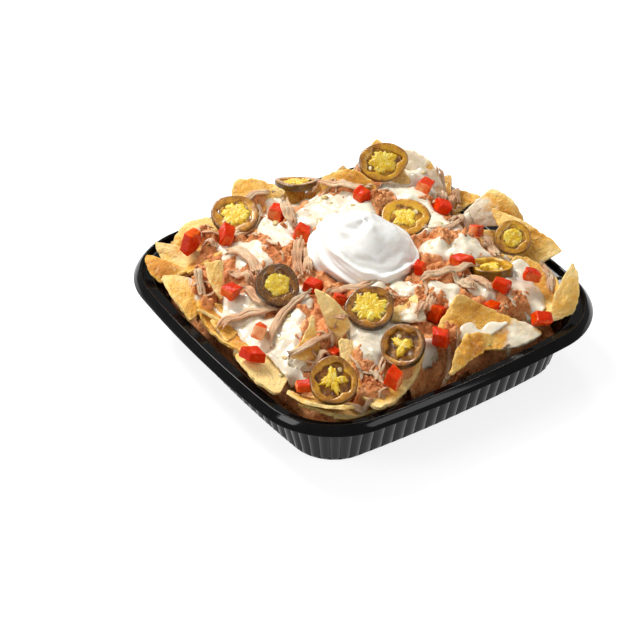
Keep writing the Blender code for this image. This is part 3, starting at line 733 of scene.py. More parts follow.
def torn_strip(bm, path, width, thick, seed, rng):
    """A strip of meat: ropes side by side, their ends staggered."""
    count = max(3, round(width / 1.35))
    for number in range(count):
        share = number / (count - 1) - 0.5
        first, last = rng.integers(0, 4), len(path) - rng.integers(0, 4)
        line = []
        for step in range(first, last):
            ahead = (path[min(step + 1, len(path) - 1)] - path[max(step - 1, 0)]).normalized()
            across = ahead.cross(Vector((0, 0, 1))).normalized()
            along = step / len(path)
            aside = share * width * 0.74 + 0.22 * width * ripple((along * 4, seed + 1.7 * number, 0), 1)
            lift = 0.3 * thick * ripple((along * 5, seed - number, 3), 1) + 0.5 * thick * (0.25 - share**2)
            line.append(path[step] + across * aside + across.cross(ahead) * lift)
        rope(bm, line, (width / count * 1.8, thick * 0.75), STRAND_SIDES, seed + 2.1 * number, 3)


def draped(ground, points, lift):
    """Lifts a path onto the ground, smoothed so that it bridges small dips."""
    heights = [max(sample(ground, point.x + dx, point.y + dy) for dx, dy in ((0, 0), (0.8, 0), (-0.8, 0), (0, 0.8), (0, -0.8)))
               for point in points]
    for _ in range(4):
        smoothed = [max(h, (a + 2 * h + b) / 4) for a, h, b in zip([heights[0]] + heights, heights, heights[1:] + [heights[-1]])]
        heights = [0.5 * h + 0.5 * (a + b) / 2 if 0.5 * h + 0.5 * (a + b) / 2 > h else h
                   for a, h, b in zip([smoothed[0]] + smoothed, smoothed, smoothed[1:] + [smoothed[-1]])]
    return [Vector((point.x, point.y, height + point.z + lift)) for point, height in zip(points, heights)]


def pork(ground):
    rng = np.random.default_rng(71)
    bm = bmesh.new()
    for number, (node, points, width, thick) in enumerate(STRANDS):
        plan = [Vector((*near(node, dx, dy), lift * 0.6)) for dx, dy, lift in points]
        path = draped(ground, smooth_path(plan, STRAND_STEPS), 0.25 * thick)
        whole = bmesh.new()
        torn_strip(whole, path, width, thick, 1.9 * number, rng)
        for end, ahead in ((path[0], path[0] - path[2]), (path[-1], path[-1] - path[-3])):
            for _ in range(4):
                drift = Vector(rng.normal(0, 1, 3)) * 0.55
                fray = (ahead.normalized() + drift * 0.6).normalized() * rng.uniform(1.6, 3.6)
                side = Vector(rng.normal(0, 0.22, 3)) * width
                start = end + side * 0.5 - ahead.normalized() * 2
                tip = [start, start + fray * 0.6, start + fray * 1.2 + Vector((0, 0, rng.uniform(-1, 0.6)))]
                rope(whole, smooth_path(tip, 6), (rng.uniform(0.7, 1.3),) * 2, 6, 2.3 * number + end.x, 2)
        join(bm, whole)
        whole.free()
    bmesh.ops.recalc_face_normals(bm, faces=bm.faces)
    return bm


def shreds(ground, inside):
    """Short fibres of meat strewn over the mash."""
    rng = np.random.default_rng(83)
    cells = np.argwhere(inside)
    bm = bmesh.new()
    for number, cell in enumerate(rng.choice(cells, 46)):
        x, y = cell * PITCH - SPAN
        turn, bend = rng.uniform(0, 2 * math.pi), rng.normal(0, 0.5)
        length = rng.uniform(8, 17)
        plan = [Vector((x + length * t * math.cos(turn + bend * t), y + length * t * math.sin(turn + bend * t), 0))
                for t in (-0.5, 0, 0.5)]
        path = draped(ground, smooth_path(plan, 6), rng.uniform(-0.1, 0.5))
        rope(bm, path, (rng.uniform(1.4, 2.8), rng.uniform(0.7, 1.1)), 8, 0.7 * number, 3)
    bmesh.ops.recalc_face_normals(bm, faces=bm.faces)
    return bm


def crumbs(ground, inside, count, sizes, seed, sunk, flat=0.75):
    """Small uneven grains lying on the ground where inside is above a share."""
    rng = np.random.default_rng(seed)
    cells = np.argwhere(inside)
    bm = bmesh.new()
    for cell in rng.choice(cells, count):
        x, y = cell * PITCH - SPAN + rng.uniform(-0.3, 0.3, 2)
        size = rng.uniform(*sizes)
        made = bmesh.ops.create_icosphere(bm, subdivisions=1, radius=size / 2)["verts"]
        seed_at = Vector(rng.uniform(0, 50, 3))
        for vert in made:
            vert.co *= 1 + 0.35 * noise.noise(vert.co / size * 1.8 + seed_at)
        stand = (Matrix.Translation((x, y, sample(ground, x, y) + size * (0.5 - sunk) * flat))
                 @ Matrix.Rotation(rng.uniform(0, 6), 4, "Z") @ Matrix.Diagonal((1.25, 0.9, flat, 1)))
        bmesh.ops.transform(bm, matrix=stand, verts=made)
    return bm


# ---------------------------------------------------------------- pickled jalapenos


# For each slice: where the wall ends inside (share of the radius), core's share, arms, how deep they
# are cut, fraying, how deep the cavities are, how many seeds, how brown.
SLICES = {
    "jalapeno_01": (0.68, 0.62, 5, 0.10, 0.16, 0.28, 1, 0.35),
    "jalapeno_02": (0.66, 0.60, 4, 0.12, 0.12, 0.20, 1, 0.50),
    "jalapeno_03": (0.66, 0.62, 6, 0.08, 0.20, 0.10, 0, 0.50),
    "jalapeno_04": (0.62, 0.60, 5, 0.05, 0.14, 0.06, 0, 0.95),
    "jalapeno_05": (0.70, 0.72, 9, 0.07, 0.34, 0.10, 0, 0.70),
    "jalapeno_06": (0.60, 0.54, 4, 0.12, 0.16, 0.08, 1, 0.25),
    "jalapeno_07": (0.62, 0.58, 3, 0.05, 0.06, 0.02, 0, 0.40),
    "jalapeno_08": (0.76, 0.50, 3, 0.25, 0.20, 1.20, 5, 0.30),
    "jalapeno_09": (0.74, 0.48, 3, 0.26, 0.26, 1.00, 2, 0.65),
    "jalapeno_10": (0.72, 0.56, 4, 0.28, 0.28, 1.20, 1, 0.55),
}
RING_STEPS = 72
WALL_OUTSIDE = ((0.93, -1.0), (0.985, -0.86), (1.0, -0.55), (1.0, 0.45), (0.99, 0.78), (0.962, 0.94), (0.92, 1.0))


def slice_frame(node):
    """A matrix whose Z stands square to a slice's faces, and the slice's half sizes."""
    bm = node_mesh(node)
    cloud = np.array([tuple(vert.co) for vert in bm.verts])
    bm.free()
    centre = cloud.mean(axis=0)
    long_way, short_way, up = np.linalg.svd(cloud - centre, full_matrices=False)[2]
    if up[2] < 0:
        up = -up
    short_way = np.cross(up, long_way)
    stand = Matrix((long_way, short_way, up)).transposed().to_4x4()
    stand.translation = Vector(centre)
    half = [np.abs((cloud - centre) @ way).max() for way in (long_way, short_way, up)]
    return stand, half


def lobed(angle, seed):
    return (1 + 0.018 * math.sin(2 * angle + seed) + 0.022 * math.sin(3 * angle + 2 * seed)
            + 0.012 * math.sin(5 * angle + 3 * seed))


def pepper_ring(half, inner, hollow, seed):
    """Skin and wall: a thick ring with flat cut faces."""
    bm = bmesh.new()
    wide, deep, thick = half

    def level(share, height):
        def place(k):
            angle = 2 * math.pi * k / RING_STEPS
            uneven = 0.07 * math.sin(4 * angle + seed) + 0.04 * math.sin(7 * angle + 2 * seed)
            uneven += 0.05 * ripple((2 * math.cos(angle), 2 * math.sin(angle), seed), 0.6)
            reach = (share + uneven * (1 - share) / (1 - inner)) * lobed(angle, seed) * 0.985
            flat = Vector((wide * reach * math.cos(angle), deep * reach * math.sin(angle), thick * height))
            flat.z += 0.35 * math.sin(2 * angle + seed) * max(0.0, height) + 0.12 * ripple(flat, 3, seed)
            return flat

        return place

    low = 0.35 - 0.55 * min(1.0, hollow) - 0.25
    section = ((inner, -0.75), (inner + 0.08, -1.0), *WALL_OUTSIDE, ((inner + 1) / 2, 0.97), (inner + 0.06, 0.93),
               (inner + 0.015, 0.82), (inner - 0.02, 0.6), (inner - 0.02, low))
    edges = first = start_loop(bm, RING_STEPS, level(*section[0]), cap=False)
    for share, height in section[1:]:
        edges = next_loop(bm, edges, level(share, height))
    bmesh.ops.bridge_loops(bm, edges=first + edges)
    bmesh.ops.recalc_face_normals(bm, faces=bm.faces)
    bm = refined(bm, 1)
    skins = bm.verts.layers.float.new("skin")
    depths = bm.verts.layers.float.new("depth")
    for vert in bm.verts:
        reach = math.hypot(vert.co.x / wide, vert.co.y / deep)
        turned = math.atan2(vert.co.y / deep, vert.co.x / wide)
        vert[skins] = min(1.0, max(0.0, (reach / lobed(turned, seed) - 0.935) / 0.03))
        vert[depths] = min(1.0, max(0.0, (reach / lobed(turned, seed) - inner) / (1 - inner)))
        vert.co += vert.normal * 0.07 * ripple(vert.co, 1.6, seed)
    return bm


def pepper_core(half, core, arms, cut, fray, hollow, seed):
    """The pale heart: a ragged star that rises to the cut face."""
    bm = bmesh.new()
    wide, deep, thick = half
    steps = 120

    def level(share, height):
        def place(k):
            angle = 2 * math.pi * k / steps
            star = 1 - cut * (1 + math.cos(arms * angle + seed)) + 0.35 * cut * math.sin((arms + 1) * angle + 2 * seed)
            round_at = (4 * math.cos(angle), 4 * math.sin(angle), seed)
            ragged = fray * share**3 * (0.9 * ripple(round_at, 0.9) + 0.9 * ripple(round_at, 0.36))
            reach = core * share * (star + ragged)
            rough = 0.55 * share * ripple((wide * reach * math.cos(angle), deep * reach * math.sin(angle), seed), 1.2)
            return Vector((wide * reach * math.cos(angle), deep * reach * math.sin(angle), thick * height + rough))

        return place

    edges = start_loop(bm, steps, level(0.1, 0.97))
    for share, height in ((0.25, 0.97), (0.42, 0.97), (0.58, 0.98), (0.72, 0.96), (0.84, 0.9), (0.94, 0.74),
                          (1.0, 0.42), (1.0, 0.0), (0.96, -0.6), (0.6, -0.75)):
        edges = next_loop(bm, edges, level(share, height))
    close_up(bm, edges)
    for vert in bm.verts:
        vert.co += vert.normal * 0.3 * ripple(vert.co, 1.1, seed + 4)
    return bm


def pepper_floor(half, inner, height, seed):
    """The membrane between core and wall."""
    bm = bmesh.new()
    wide, deep, thick = half
    reach = inner + 0.1

    def level(share, up):
        def place(k):
            angle = 2 * math.pi * k / RING_STEPS
            flat = Vector((wide * share * math.cos(angle), deep * share * math.sin(angle), thick * (height + up)))
            flat.z += 0.6 * ripple(flat, 3, seed)
            return flat

        return place

    edges = start_loop(bm, RING_STEPS, level(0.08, 0.0))
    for share in (0.2, 0.35, 0.5, 0.62, 0.74, 0.86, 1.0):
        edges = next_loop(bm, edges, level(share * reach, 0.0))
    edges = next_loop(bm, edges, level(reach, -0.3))
    close_up(bm, edges)
    return bm


def pepper_seeds(half, core, count, height, seed):
    rng = np.random.default_rng(int(seed * 100) + 5)
    bm = bmesh.new()
    wide, deep, thick = half
    for _ in range(count):
        made = bmesh.ops.create_icosphere(bm, subdivisions=2, radius=1.35)["verts"]
        for vert in made:
            vert.co.z *= 0.32
            vert.co.x *= 1.12
            vert.co.z += 0.15 * math.cos(vert.co.x)
        angle, reach = rng.uniform(0, 2 * math.pi), rng.uniform(core * 0.8, core + 0.12)
        stand = (Matrix.Translation((wide * reach * math.cos(angle), deep * reach * math.sin(angle), thick * height + 0.7))
                 @ Matrix.Rotation(rng.uniform(0, 6), 4, "Z") @ Matrix.Rotation(rng.uniform(0.1, 0.9), 4, "X"))
        bmesh.ops.transform(bm, matrix=stand, verts=made)
    return bm


def jalapenos():
    for number, node in enumerate(names("jalapeno_")):
        inner, core, arms, cut, fray, hollow, seeds, brown = SLICES[node]
        stand, half = slice_frame(node)
        seed = 1.3 * number + 0.4
        floor_at = 0.72 - 0.9 * min(1.0, hollow)
        whole = bmesh.new()
        parts = [(pepper_ring(half, inner, hollow, seed), 0),
                 (pepper_core(half, core, arms, cut, fray, hollow, seed), 1),
                 (pepper_floor(half, inner, floor_at, seed), 2)]
        if seeds:
            parts.append((pepper_seeds(half, core, seeds, floor_at, seed), 3))
        for bm, index in parts:
            tones = bm.verts.layers.float.new("tone")
            for vert in bm.verts:
                vert[tones] = brown
            for face in bm.faces:
                face.material_index = index
            join(whole, bm)
            bm.free()
        bmesh.ops.transform(whole, matrix=stand, verts=whole.verts)
        new_piece("pickled_" + node, whole, [pepper_wall, pepper_placenta, pepper_film, pepper_seed],
                  [node])


# ---------------------------------------------------------------- tomato


# How pale each dice is, from red skin to pinkish flesh; those not named are 0.15.
DICE_TONES = {"tomato_01": -0.6, "tomato_03": 0.5, "tomato_04": 0.1, "tomato_05": 0.5, "tomato_06": 0.5,
              "tomato_08": 0.6, "tomato_16": -0.3, "tomato_17": -0.2, "tomato_18": -0.1, "tomato_20": 1.0,
              "tomato_22": 0.4, "tomato_23": 0.6, "tomato_24": 0.6, "tomato_02": 0.2, "tomato_21": 0.15}


def tomatoes():
    for number, node in enumerate(names("tomato_")):
        bm = node_mesh(node)
        bmesh.ops.join_triangles(bm, faces=bm.faces, angle_face_threshold=0.3, angle_shape_threshold=1.5)
        bmesh.ops.subdivide_edges(bm, edges=bm.edges, cuts=1, use_grid_fill=True)
        bm = refined(bm, 2)
        seed = 2.7 * number
        skin_way = Vector((math.cos(seed), math.sin(seed), 0.9)).normalized()
        fleshes = bm.verts.layers.float.new("flesh")
        tones = bm.verts.layers.float.new("tone")
        centre = middle(node)
        skew = Matrix(((1, 0.16 * math.sin(seed), 0), (0.16 * math.cos(1.7 * seed), 1, 0), (0.14 * math.sin(2.3 * seed), 0, 1)))
        for vert in bm.verts:
            side = vert.co - centre
            taper = 1 - 0.022 * side.dot(Vector((math.sin(seed), math.cos(seed), 0.4)))
            vert.co = centre + skew @ side * taper * 0.98
            vert[fleshes] = min(1.0, max(0.0, 0.75 - 1.2 * vert.normal.dot(skin_way)))
            vert[tones] = DICE_TONES.get(node, 0.15)
            dent = 0.8 * ripple(vert.co, 6, seed) + 0.2 * ripple(vert.co, 2.2, seed)
            vert.co += vert.normal * dent
        new_piece("dice_" + node, bm, [tomato], [node])


# ---------------------------------------------------------------- soured cream


def cream_folds():
    """The dollop: overlapping spoon strokes that dip to one side and gather towards the peak."""
    bm = node_mesh("soured_cream")
    bmesh.ops.join_triangles(bm, faces=bm.faces, angle_face_threshold=0.6, angle_shape_threshold=1.5)
    bm = refined(bm, 3)
    low, high = (corner * PER_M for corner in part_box("soured_cream"))
    centre = (low + high) / 2
    tall = high.z - low.z
    right = Vector((math.cos(VIEW_TURN), math.sin(VIEW_TURN), 0))
    for vert in bm.verts:
        co = vert.co
        rise = (co.z - low.z) / tall
        side = (co - centre).dot(right)
        depth = (co - centre).dot(right.cross(Vector((0, 0, 1))))
        wobble = 0.55 * ripple(co, 24, 3) + 0.14 * ripple(co, 10, 5)
        phase = (co.z - low.z + 0.42 * side + 0.16 * depth) / (10.5 + 0.1 * side) + wobble
        stroke = phase % 1.0
        fold = stroke**2.2 if stroke < 0.9 else (1 - stroke) / 0.1 * 0.9**2.2
        fine = math.sin(2 * math.pi * (3.3 * phase + wobble))
        bulge = min(1.0, max(0.0, (side - 12) / 12)) * min(1.0, max(0.0, (rise - 0.35) / 0.3))
        strength = min(1.0, 4 * rise) * (1 - 0.8 * bulge)
        swirl = math.sin(3 * math.atan2(depth, side) + 5.5 * rise + wobble)
        crown = min(1.0, max(0.0, (rise - 0.62) / 0.2))
        lift = strength * (3.4 * (fold - 0.3) * (1 - 0.5 * crown) + 0.22 * fine + 1.1 * crown * swirl)
        vert.co += vert.normal * (lift + 0.6 * ripple(co, 12, 8))
    bmesh.ops.smooth_vert(bm, verts=bm.verts, factor=0.5, use_axis_x=True, use_axis_y=True, use_axis_z=True)
    for vert in bm.verts:
        vert.co.z = min(vert.co.z, high.z)
    bm.normal_update()
    return bm


# ---------------------------------------------------------------- finishes


class Finish:
    """A Principled material with a few words for its nodes."""

    def __init__(self, name, **values):
        self.material = bpy.data.materials.new(name)
        self.material.use_nodes = True
        tree = self.material.node_tree
        self.nodes, self.links = tree.nodes, tree.links
        self.shader = self.nodes["Principled BSDF"]
        for socket, value in values.items():
            self.shader.inputs[socket.replace("_", " ")].default_value = value
        self.place = self.add("ShaderNodeTexCoord").outputs["Object"]

    def add(self, kind, inputs=(), **settings):
        node = self.nodes.new(kind)
        for key, value in settings.items():
            setattr(node, key, value)
        for key, value in dict(inputs).items():
            if isinstance(value, bpy.types.NodeSocket):
                self.links.new(value, node.inputs[key])
            else:
                node.inputs[key].default_value = value
        return node

    def grain(self, size, detail=3.0, rough=0.55, warp=0.0, place=None):
        """Noise whose features are this many millimetres across."""
        return self.add("ShaderNodeTexNoise", {"Vector": place or self.place, "Scale": PER_M / size, "Detail": detail,
                                               "Roughness": rough, "Distortion": warp}).outputs["Fac"]

    def cells(self, size, feature="F1"):
        return self.add("ShaderNodeTexVoronoi", {"Vector": self.place, "Scale": PER_M / size}, feature=feature).outputs["Distance"]

    def mark(self, name, vector=False):
        node = self.add("ShaderNodeAttribute", attribute_name=name)
        return node.outputs["Vector" if vector else "Fac"]

    def sums(self, operation, first, second=0.0, clamp=False):
        return self.add("ShaderNodeMath", {0: first, 1: second}, operation=operation, use_clamp=clamp).outputs[0]

    def between(self, value, low, high, to_low=0.0, to_high=1.0):
        return self.add("ShaderNodeMapRange", {"Value": value, "From Min": low, "From Max": high, "To Min": to_low,
                                               "To Max": to_high}).outputs["Result"]

    def ramp(self, value, stops):
        node = self.add("ShaderNodeValToRGB", {"Fac": value})
        row = node.color_ramp.elements
        while len(row) < len(stops):
            row.new(0.5)
        for element, (position, colour) in zip(row, stops):
            element.position = position
            element.color = (*linear(colour), 1.0)
        return node.outputs["Color"]

    def mix(self, share, first, second, blend="MIX"):
        node = self.add("ShaderNodeMix", data_type="RGBA", blend_type=blend)
        for socket, value in ((node.inputs[0], share), (node.inputs[6], first), (node.inputs[7], second)):
            if isinstance(value, bpy.types.NodeSocket):
                self.links.new(value, socket)
            else:
                socket.default_value = (*linear(value), 1.0) if isinstance(value, tuple) else value
        return node.outputs[2]

    def paint(self, colour):
        self.links.new(colour, self.shader.inputs["Base Color"])

    def roughness(self, value):
        self.links.new(value, self.shader.inputs["Roughness"])

    def relief(self, *layers):
        """Bumps one on another, each as (height, millimetres)."""
        normal = None
        for height, depth in layers:
            values = {"Height": height, "Strength": 1.0, "Distance": depth * MM}
            if normal:
                values["Normal"] = normal
            normal = self.add("ShaderNodeBump", values).outputs["Normal"]
        self.links.new(normal, self.shader.inputs["Normal"])


def linear(colour):
    """A colour as the eye reads it, 0 to 255, in linear light."""
    return tuple(c / 255 / 12.92 if c <= 10.31 else ((c / 255 + 0.055) / 1.055) ** 2.4 for c in colour)


def moulded_black():
    look = Finish("moulded_black", Specular_IOR_Level=0.2)
    look.paint(look.ramp(look.grain(9, 4), ((0.35, (7, 7, 8)), (0.7, (13, 13, 14)))))
    look.roughness(look.between(look.grain(12, 3), 0.3, 0.7, 0.07, 0.11))
    look.relief((look.grain(0.5, 2), 0.003))
    return look.material


def refried_beans():
    look = Finish("refried_beans", Subsurface_Weight=0.2, Subsurface_Radius=(1.0, 0.4, 0.2), Subsurface_Scale=0.001,
                  Specular_IOR_Level=0.3)
    patches = look.ramp(look.grain(11, 4, 0.6, 0.5), ((0.3, (178, 96, 44)), (0.46, (226, 144, 82)), (0.66, (248, 182, 122))))
    specks = look.grain(2.0, 4, 0.65, 0.5)
    tinted = look.mix(look.between(specks, 0.52, 0.7, 0, 0.6), patches, (242, 188, 134))
    tinted = look.mix(look.between(specks, 0.45, 0.33, 0, 0.8), tinted, (120, 60, 28))
    red = look.between(look.grain(23, 2), 0.5, 0.7, 0, 0.45)
    look.paint(look.mix(red, tinted, (196, 106, 52)))
    look.roughness(look.between(look.grain(4, 3), 0.35, 0.65, 0.22, 0.5))
    look.relief((look.grain(2.6, 4, 0.6, 0.4), 1.3), (look.grain(0.9, 4, 0.6), 0.6))
    return look.material


def fried_corn():
    look = Finish("fried_corn", Subsurface_Weight=0.2, Subsurface_Radius=(1.0, 0.5, 0.2), Subsurface_Scale=0.002,
                  Specular_IOR_Level=0.3)
    tone, rim, sauce = look.mark("tone"), look.mark("rim"), look.mark("sauce")
    cloudy = look.grain(16, 4, 0.6, 0.5)
    value = look.sums("ADD", look.sums("MULTIPLY", tone, 0.55), look.between(cloudy, 0.3, 0.7, -0.16, 0.42))
    value = look.sums("SUBTRACT", value, look.sums("MULTIPLY", look.sums("POWER", rim, 6.0), 0.30))
    base = look.ramp(value, ((0.0, (248, 214, 140)), (0.22, (241, 195, 102)), (0.45, (227, 166, 60)),
                             (0.7, (200, 128, 32)), (1.0, (150, 82, 20))))
    mottled = look.mix(look.between(look.grain(2.2, 4, 0.65), 0.52, 0.72, 0, 0.5), base, (250, 224, 176))
    mottled = look.mix(look.between(look.grain(3.3, 3, 0.6, 1.0), 0.62, 0.75, 0, 0.55), mottled, (178, 106, 30))
    flecks = look.between(look.grain(1.1, 2), 0.68, 0.76, 0, 0.55)
    mottled = look.mix(flecks, mottled, (140, 84, 34))
    coat = look.ramp(look.grain(5, 3), ((0.3, (214, 200, 168)), (0.6, (234, 226, 204))))
    look.paint(look.mix(look.sums("MULTIPLY", sauce, 0.93), mottled, coat))
    look.roughness(look.between(sauce, 0, 1, 0.55, 0.25))
    rough_grain = look.sums("MULTIPLY", look.grain(1.7, 4, 0.6), look.between(sauce, 0, 1, 1, 0.1))
    look.relief((look.grain(4.5, 3, 0.5), 0.8), (rough_grain, 1.1))
    return look.material


def cheese_sauce():
    look = Finish("cheese_sauce", Subsurface_Weight=0.35, Subsurface_Radius=(1.0, 0.75, 0.45), Subsurface_Scale=0.002,
                  Specular_IOR_Level=0.45, Coat_Weight=0.2, Coat_Roughness=0.08)
    base = look.ramp(look.grain(12, 3), ((0.3, (226, 214, 188)), (0.7, (239, 231, 212))))
    specks = look.between(look.grain(2.2, 2), 0.67, 0.74, 0, 0.35)
    base = look.mix(specks, base, (206, 180, 124))
    sparse = look.sums("MULTIPLY", look.between(look.grain(8, 2), 0.56, 0.6), look.between(look.grain(3.0, 3, 0.6), 0.5, 0.56))
    base = look.mix(look.sums("MULTIPLY", sparse, 0.62), base, (196, 172, 104))
    look.paint(look.mix(look.between(look.grain(26, 2), 0.52, 0.72, 0, 0.35), base, (232, 204, 160)))
    look.roughness(look.between(look.grain(6, 2), 0.3, 0.7, 0.14, 0.26))
    look.relief((look.grain(7, 2), 0.5), (look.grain(1.5, 2), 0.04))
    return look.material


def shredded_pork():
    look = Finish("shredded_pork", Subsurface_Weight=0.25, Subsurface_Radius=(1.0, 0.45, 0.3), Subsurface_Scale=0.0015,
                  Specular_IOR_Level=0.5)
    fibre = look.mark("fibre", vector=True)
    stretched = look.add("ShaderNodeMapping", {"Vector": fibre, "Scale": (0.55, 1.25, 1.25)}).outputs["Vector"]
    lines = look.add("ShaderNodeTexNoise", {"Vector": stretched, "Scale": 3.0, "Detail": 4.0, "Roughness": 0.6}).outputs["Fac"]
    value = look.sums("ADD", look.sums("MULTIPLY", lines, 0.75), look.sums("MULTIPLY", look.grain(24, 2), 0.45))
    look.paint(look.ramp(value, ((0.38, (178, 106, 64)), (0.48, (226, 160, 114)), (0.58, (244, 194, 148)), (0.70, (252, 224, 188)))))
    look.roughness(look.between(lines, 0.35, 0.65, 0.3, 0.52))
    look.relief((lines, 1.4), (look.grain(1.2, 3), 0.2))
    return look.material


def pepper_wall_finish():
    look = Finish("pepper_wall", Subsurface_Weight=0.3, Subsurface_Radius=(1.0, 0.6, 0.1), Subsurface_Scale=0.0015,
                  Specular_IOR_Level=0.5, Coat_Weight=0.3, Coat_Roughness=0.08)
    skin, tone = look.mark("skin"), look.mark("tone")
    cloud = look.between(look.grain(5, 4, 0.65), 0.3, 0.7, -0.3, 0.3)
    value = look.sums("ADD", look.sums("ADD", tone, cloud), look.between(look.mark("depth"), 0, 1, -0.12, 0.26))
    flesh = look.ramp(value, ((0.0, (214, 172, 38)), (0.3, (204, 150, 38)), (0.6, (164, 106, 28)), (1.0, (106, 68, 32))))
    peel = look.ramp(value, ((0.0, (156, 124, 18)), (0.45, (118, 84, 14)), (1.0, (62, 40, 14))))
    specks = look.between(look.grain(1.1, 3), 0.56, 0.68, 0, 0.5)
    flesh = look.mix(specks, flesh, (196, 156, 84))
    look.paint(look.mix(skin, flesh, peel))
    look.roughness(look.between(look.grain(3, 3), 0.3, 0.7, 0.16, 0.36))
    look.relief((look.grain(3.5, 3), 0.3), (look.grain(0.9, 3), 0.12))
    return look.material


def placenta_finish():
    look = Finish("pepper_placenta", Subsurface_Weight=0.4, Subsurface_Radius=(1.0, 0.8, 0.2), Subsurface_Scale=0.0015,
                  Specular_IOR_Level=0.5)
    base = look.ramp(look.grain(3.0, 4, 0.65, 0.5), ((0.32, (204, 152, 12)), (0.48, (228, 190, 40)), (0.66, (238, 216, 98))))
    look.paint(look.mix(look.between(look.grain(2.0, 3), 0.56, 0.7, 0, 0.7), base, (242, 234, 176)))
    look.roughness(look.between(look.grain(2, 2), 0.3, 0.7, 0.2, 0.42))
    look.relief((look.grain(2.8, 3, 0.6, 0.6), 0.7), (look.grain(1.2, 3), 0.1))
    return look.material


def membrane_finish():
    look = Finish("pepper_membrane", Subsurface_Weight=0.4, Subsurface_Radius=(1.0, 0.6, 0.1), Subsurface_Scale=0.002,
                  Specular_IOR_Level=0.6, Coat_Weight=0.5, Coat_Roughness=0.06)
    tone = look.mark("tone")
    value = look.sums("ADD", look.between(look.grain(4, 4), 0.3, 0.7, 0, 0.7), look.sums("MULTIPLY", tone, 0.4))
    look.paint(look.ramp(value, ((0.1, (208, 160, 40)), (0.45, (176, 120, 26)), (0.8, (104, 60, 14)))))
    look.roughness(look.between(look.grain(3, 2), 0.3, 0.7, 0.12, 0.28))
    look.relief((look.grain(2.2, 3), 0.5))
    return look.material


def seed_finish():
    look = Finish("pepper_seed", Subsurface_Weight=0.3, Subsurface_Radius=(1.0, 0.8, 0.4), Subsurface_Scale=0.001)
    look.paint(look.ramp(look.grain(1.5, 2), ((0.3, (214, 190, 130)), (0.7, (242, 230, 190)))))
    look.roughness(look.between(look.grain(1, 2), 0.3, 0.7, 0.25, 0.45))
    look.relief((look.grain(0.6, 2), 0.1))
    return look.material


def tomato_finish():
    look = Finish("tomato_flesh", Subsurface_Weight=0.15, Subsurface_Radius=(1.0, 0.25, 0.05), Subsurface_Scale=0.0015,
                  Specular_IOR_Level=0.14, Coat_Weight=0.05, Coat_Roughness=0.06)
    flesh, tone = look.mark("flesh"), look.mark("tone")
    cloud = look.between(look.grain(4.5, 3, 0.6), 0.3, 0.7, -0.2, 0.25)
    value = look.sums("ADD", look.sums("MULTIPLY", flesh, 0.6), look.sums("ADD", look.sums("MULTIPLY", tone, 0.55), cloud))
    base = look.ramp(look.between(value, -0.6, 1.2), ((0.0, (232, 116, 8)), (0.25, (216, 70, 0)), (0.42, (202, 36, 0)),
                                                     (0.6, (208, 56, 4)), (0.8, (228, 104, 46)), (1.0, (240, 176, 124))))
    look.paint(look.mix(look.between(look.grain(1.0, 2), 0.66, 0.76, 0, 0.4), base, (244, 170, 110)))
    look.roughness(look.between(look.grain(2, 3), 0.3, 0.7, 0.14, 0.32))
    look.relief((look.grain(2.6, 3), 0.25), (look.grain(0.8, 3), 0.08))
    return look.material


def cream_finish():
    look = Finish("soured_cream", Subsurface_Weight=0.3, Subsurface_Radius=(1.0, 0.85, 0.65), Subsurface_Scale=0.002,
                  Specular_IOR_Level=0.5, Coat_Weight=0.2, Coat_Roughness=0.15)
    look.paint(look.ramp(look.grain(14, 3), ((0.3, (240, 239, 232)), (0.7, (247, 246, 241)))))
    look.roughness(look.between(look.grain(3, 3), 0.3, 0.7, 0.22, 0.38))
    look.relief((look.grain(5, 3), 0.35), (look.grain(1.2, 2), 0.05))
    return look.material


def chilli_fleck():
    look = Finish("chilli_fleck", Subsurface_Weight=0.3, Subsurface_Radius=(1.0, 0.7, 0.2), Subsurface_Scale=0.001)
    look.paint(look.ramp(look.grain(5, 2), ((0.35, (206, 178, 112)), (0.5, (216, 198, 142)), (0.65, (190, 180, 112)))))
    look.roughness(look.between(look.grain(1, 2), 0.3, 0.7, 0.2, 0.4))
    look.relief((look.grain(0.8, 2), 0.15))
    return look.material


# ---------------------------------------------------------------- stage


def stage():
    bm = bmesh.new()
    bmesh.ops.create_grid(bm, x_segments=8, y_segments=8, size=4000)
    mesh = bpy.data.meshes.new("studio_floor")
    bm.to_mesh(mesh)
    mesh.transform(Matrix.Scale(MM, 4))
    look = Finish("studio_floor", Roughness=0.9, Specular_IOR_Level=0.0, Emission_Color=(1, 1, 1, 1), Emission_Strength=0.8)
    look.paint(look.ramp(look.grain(400, 2), ((0.3, (164, 164, 164)), (0.7, (168, 168, 168)))))
    mesh.materials.append(look.material)
    floor = bpy.data.objects.new("studio_floor", mesh)
    floor.location.z = -0.0002
    bpy.context.scene.collection.objects.link(floor)


def area_light(name, place, aim, size, watts, colour=(1, 1, 1)):
    data = bpy.data.lights.new(name, "AREA")
    data.shape = "RECTANGLE"
    data.size, data.size_y = size
    data.energy = watts
    data.color = colour
    lamp = bpy.data.objects.new(name, data)
    lamp.location = place
    lamp.rotation_euler = (Vector(aim) - Vector(place)).to_track_quat("-Z", "Y").to_euler()
    bpy.context.scene.collection.objects.link(lamp)


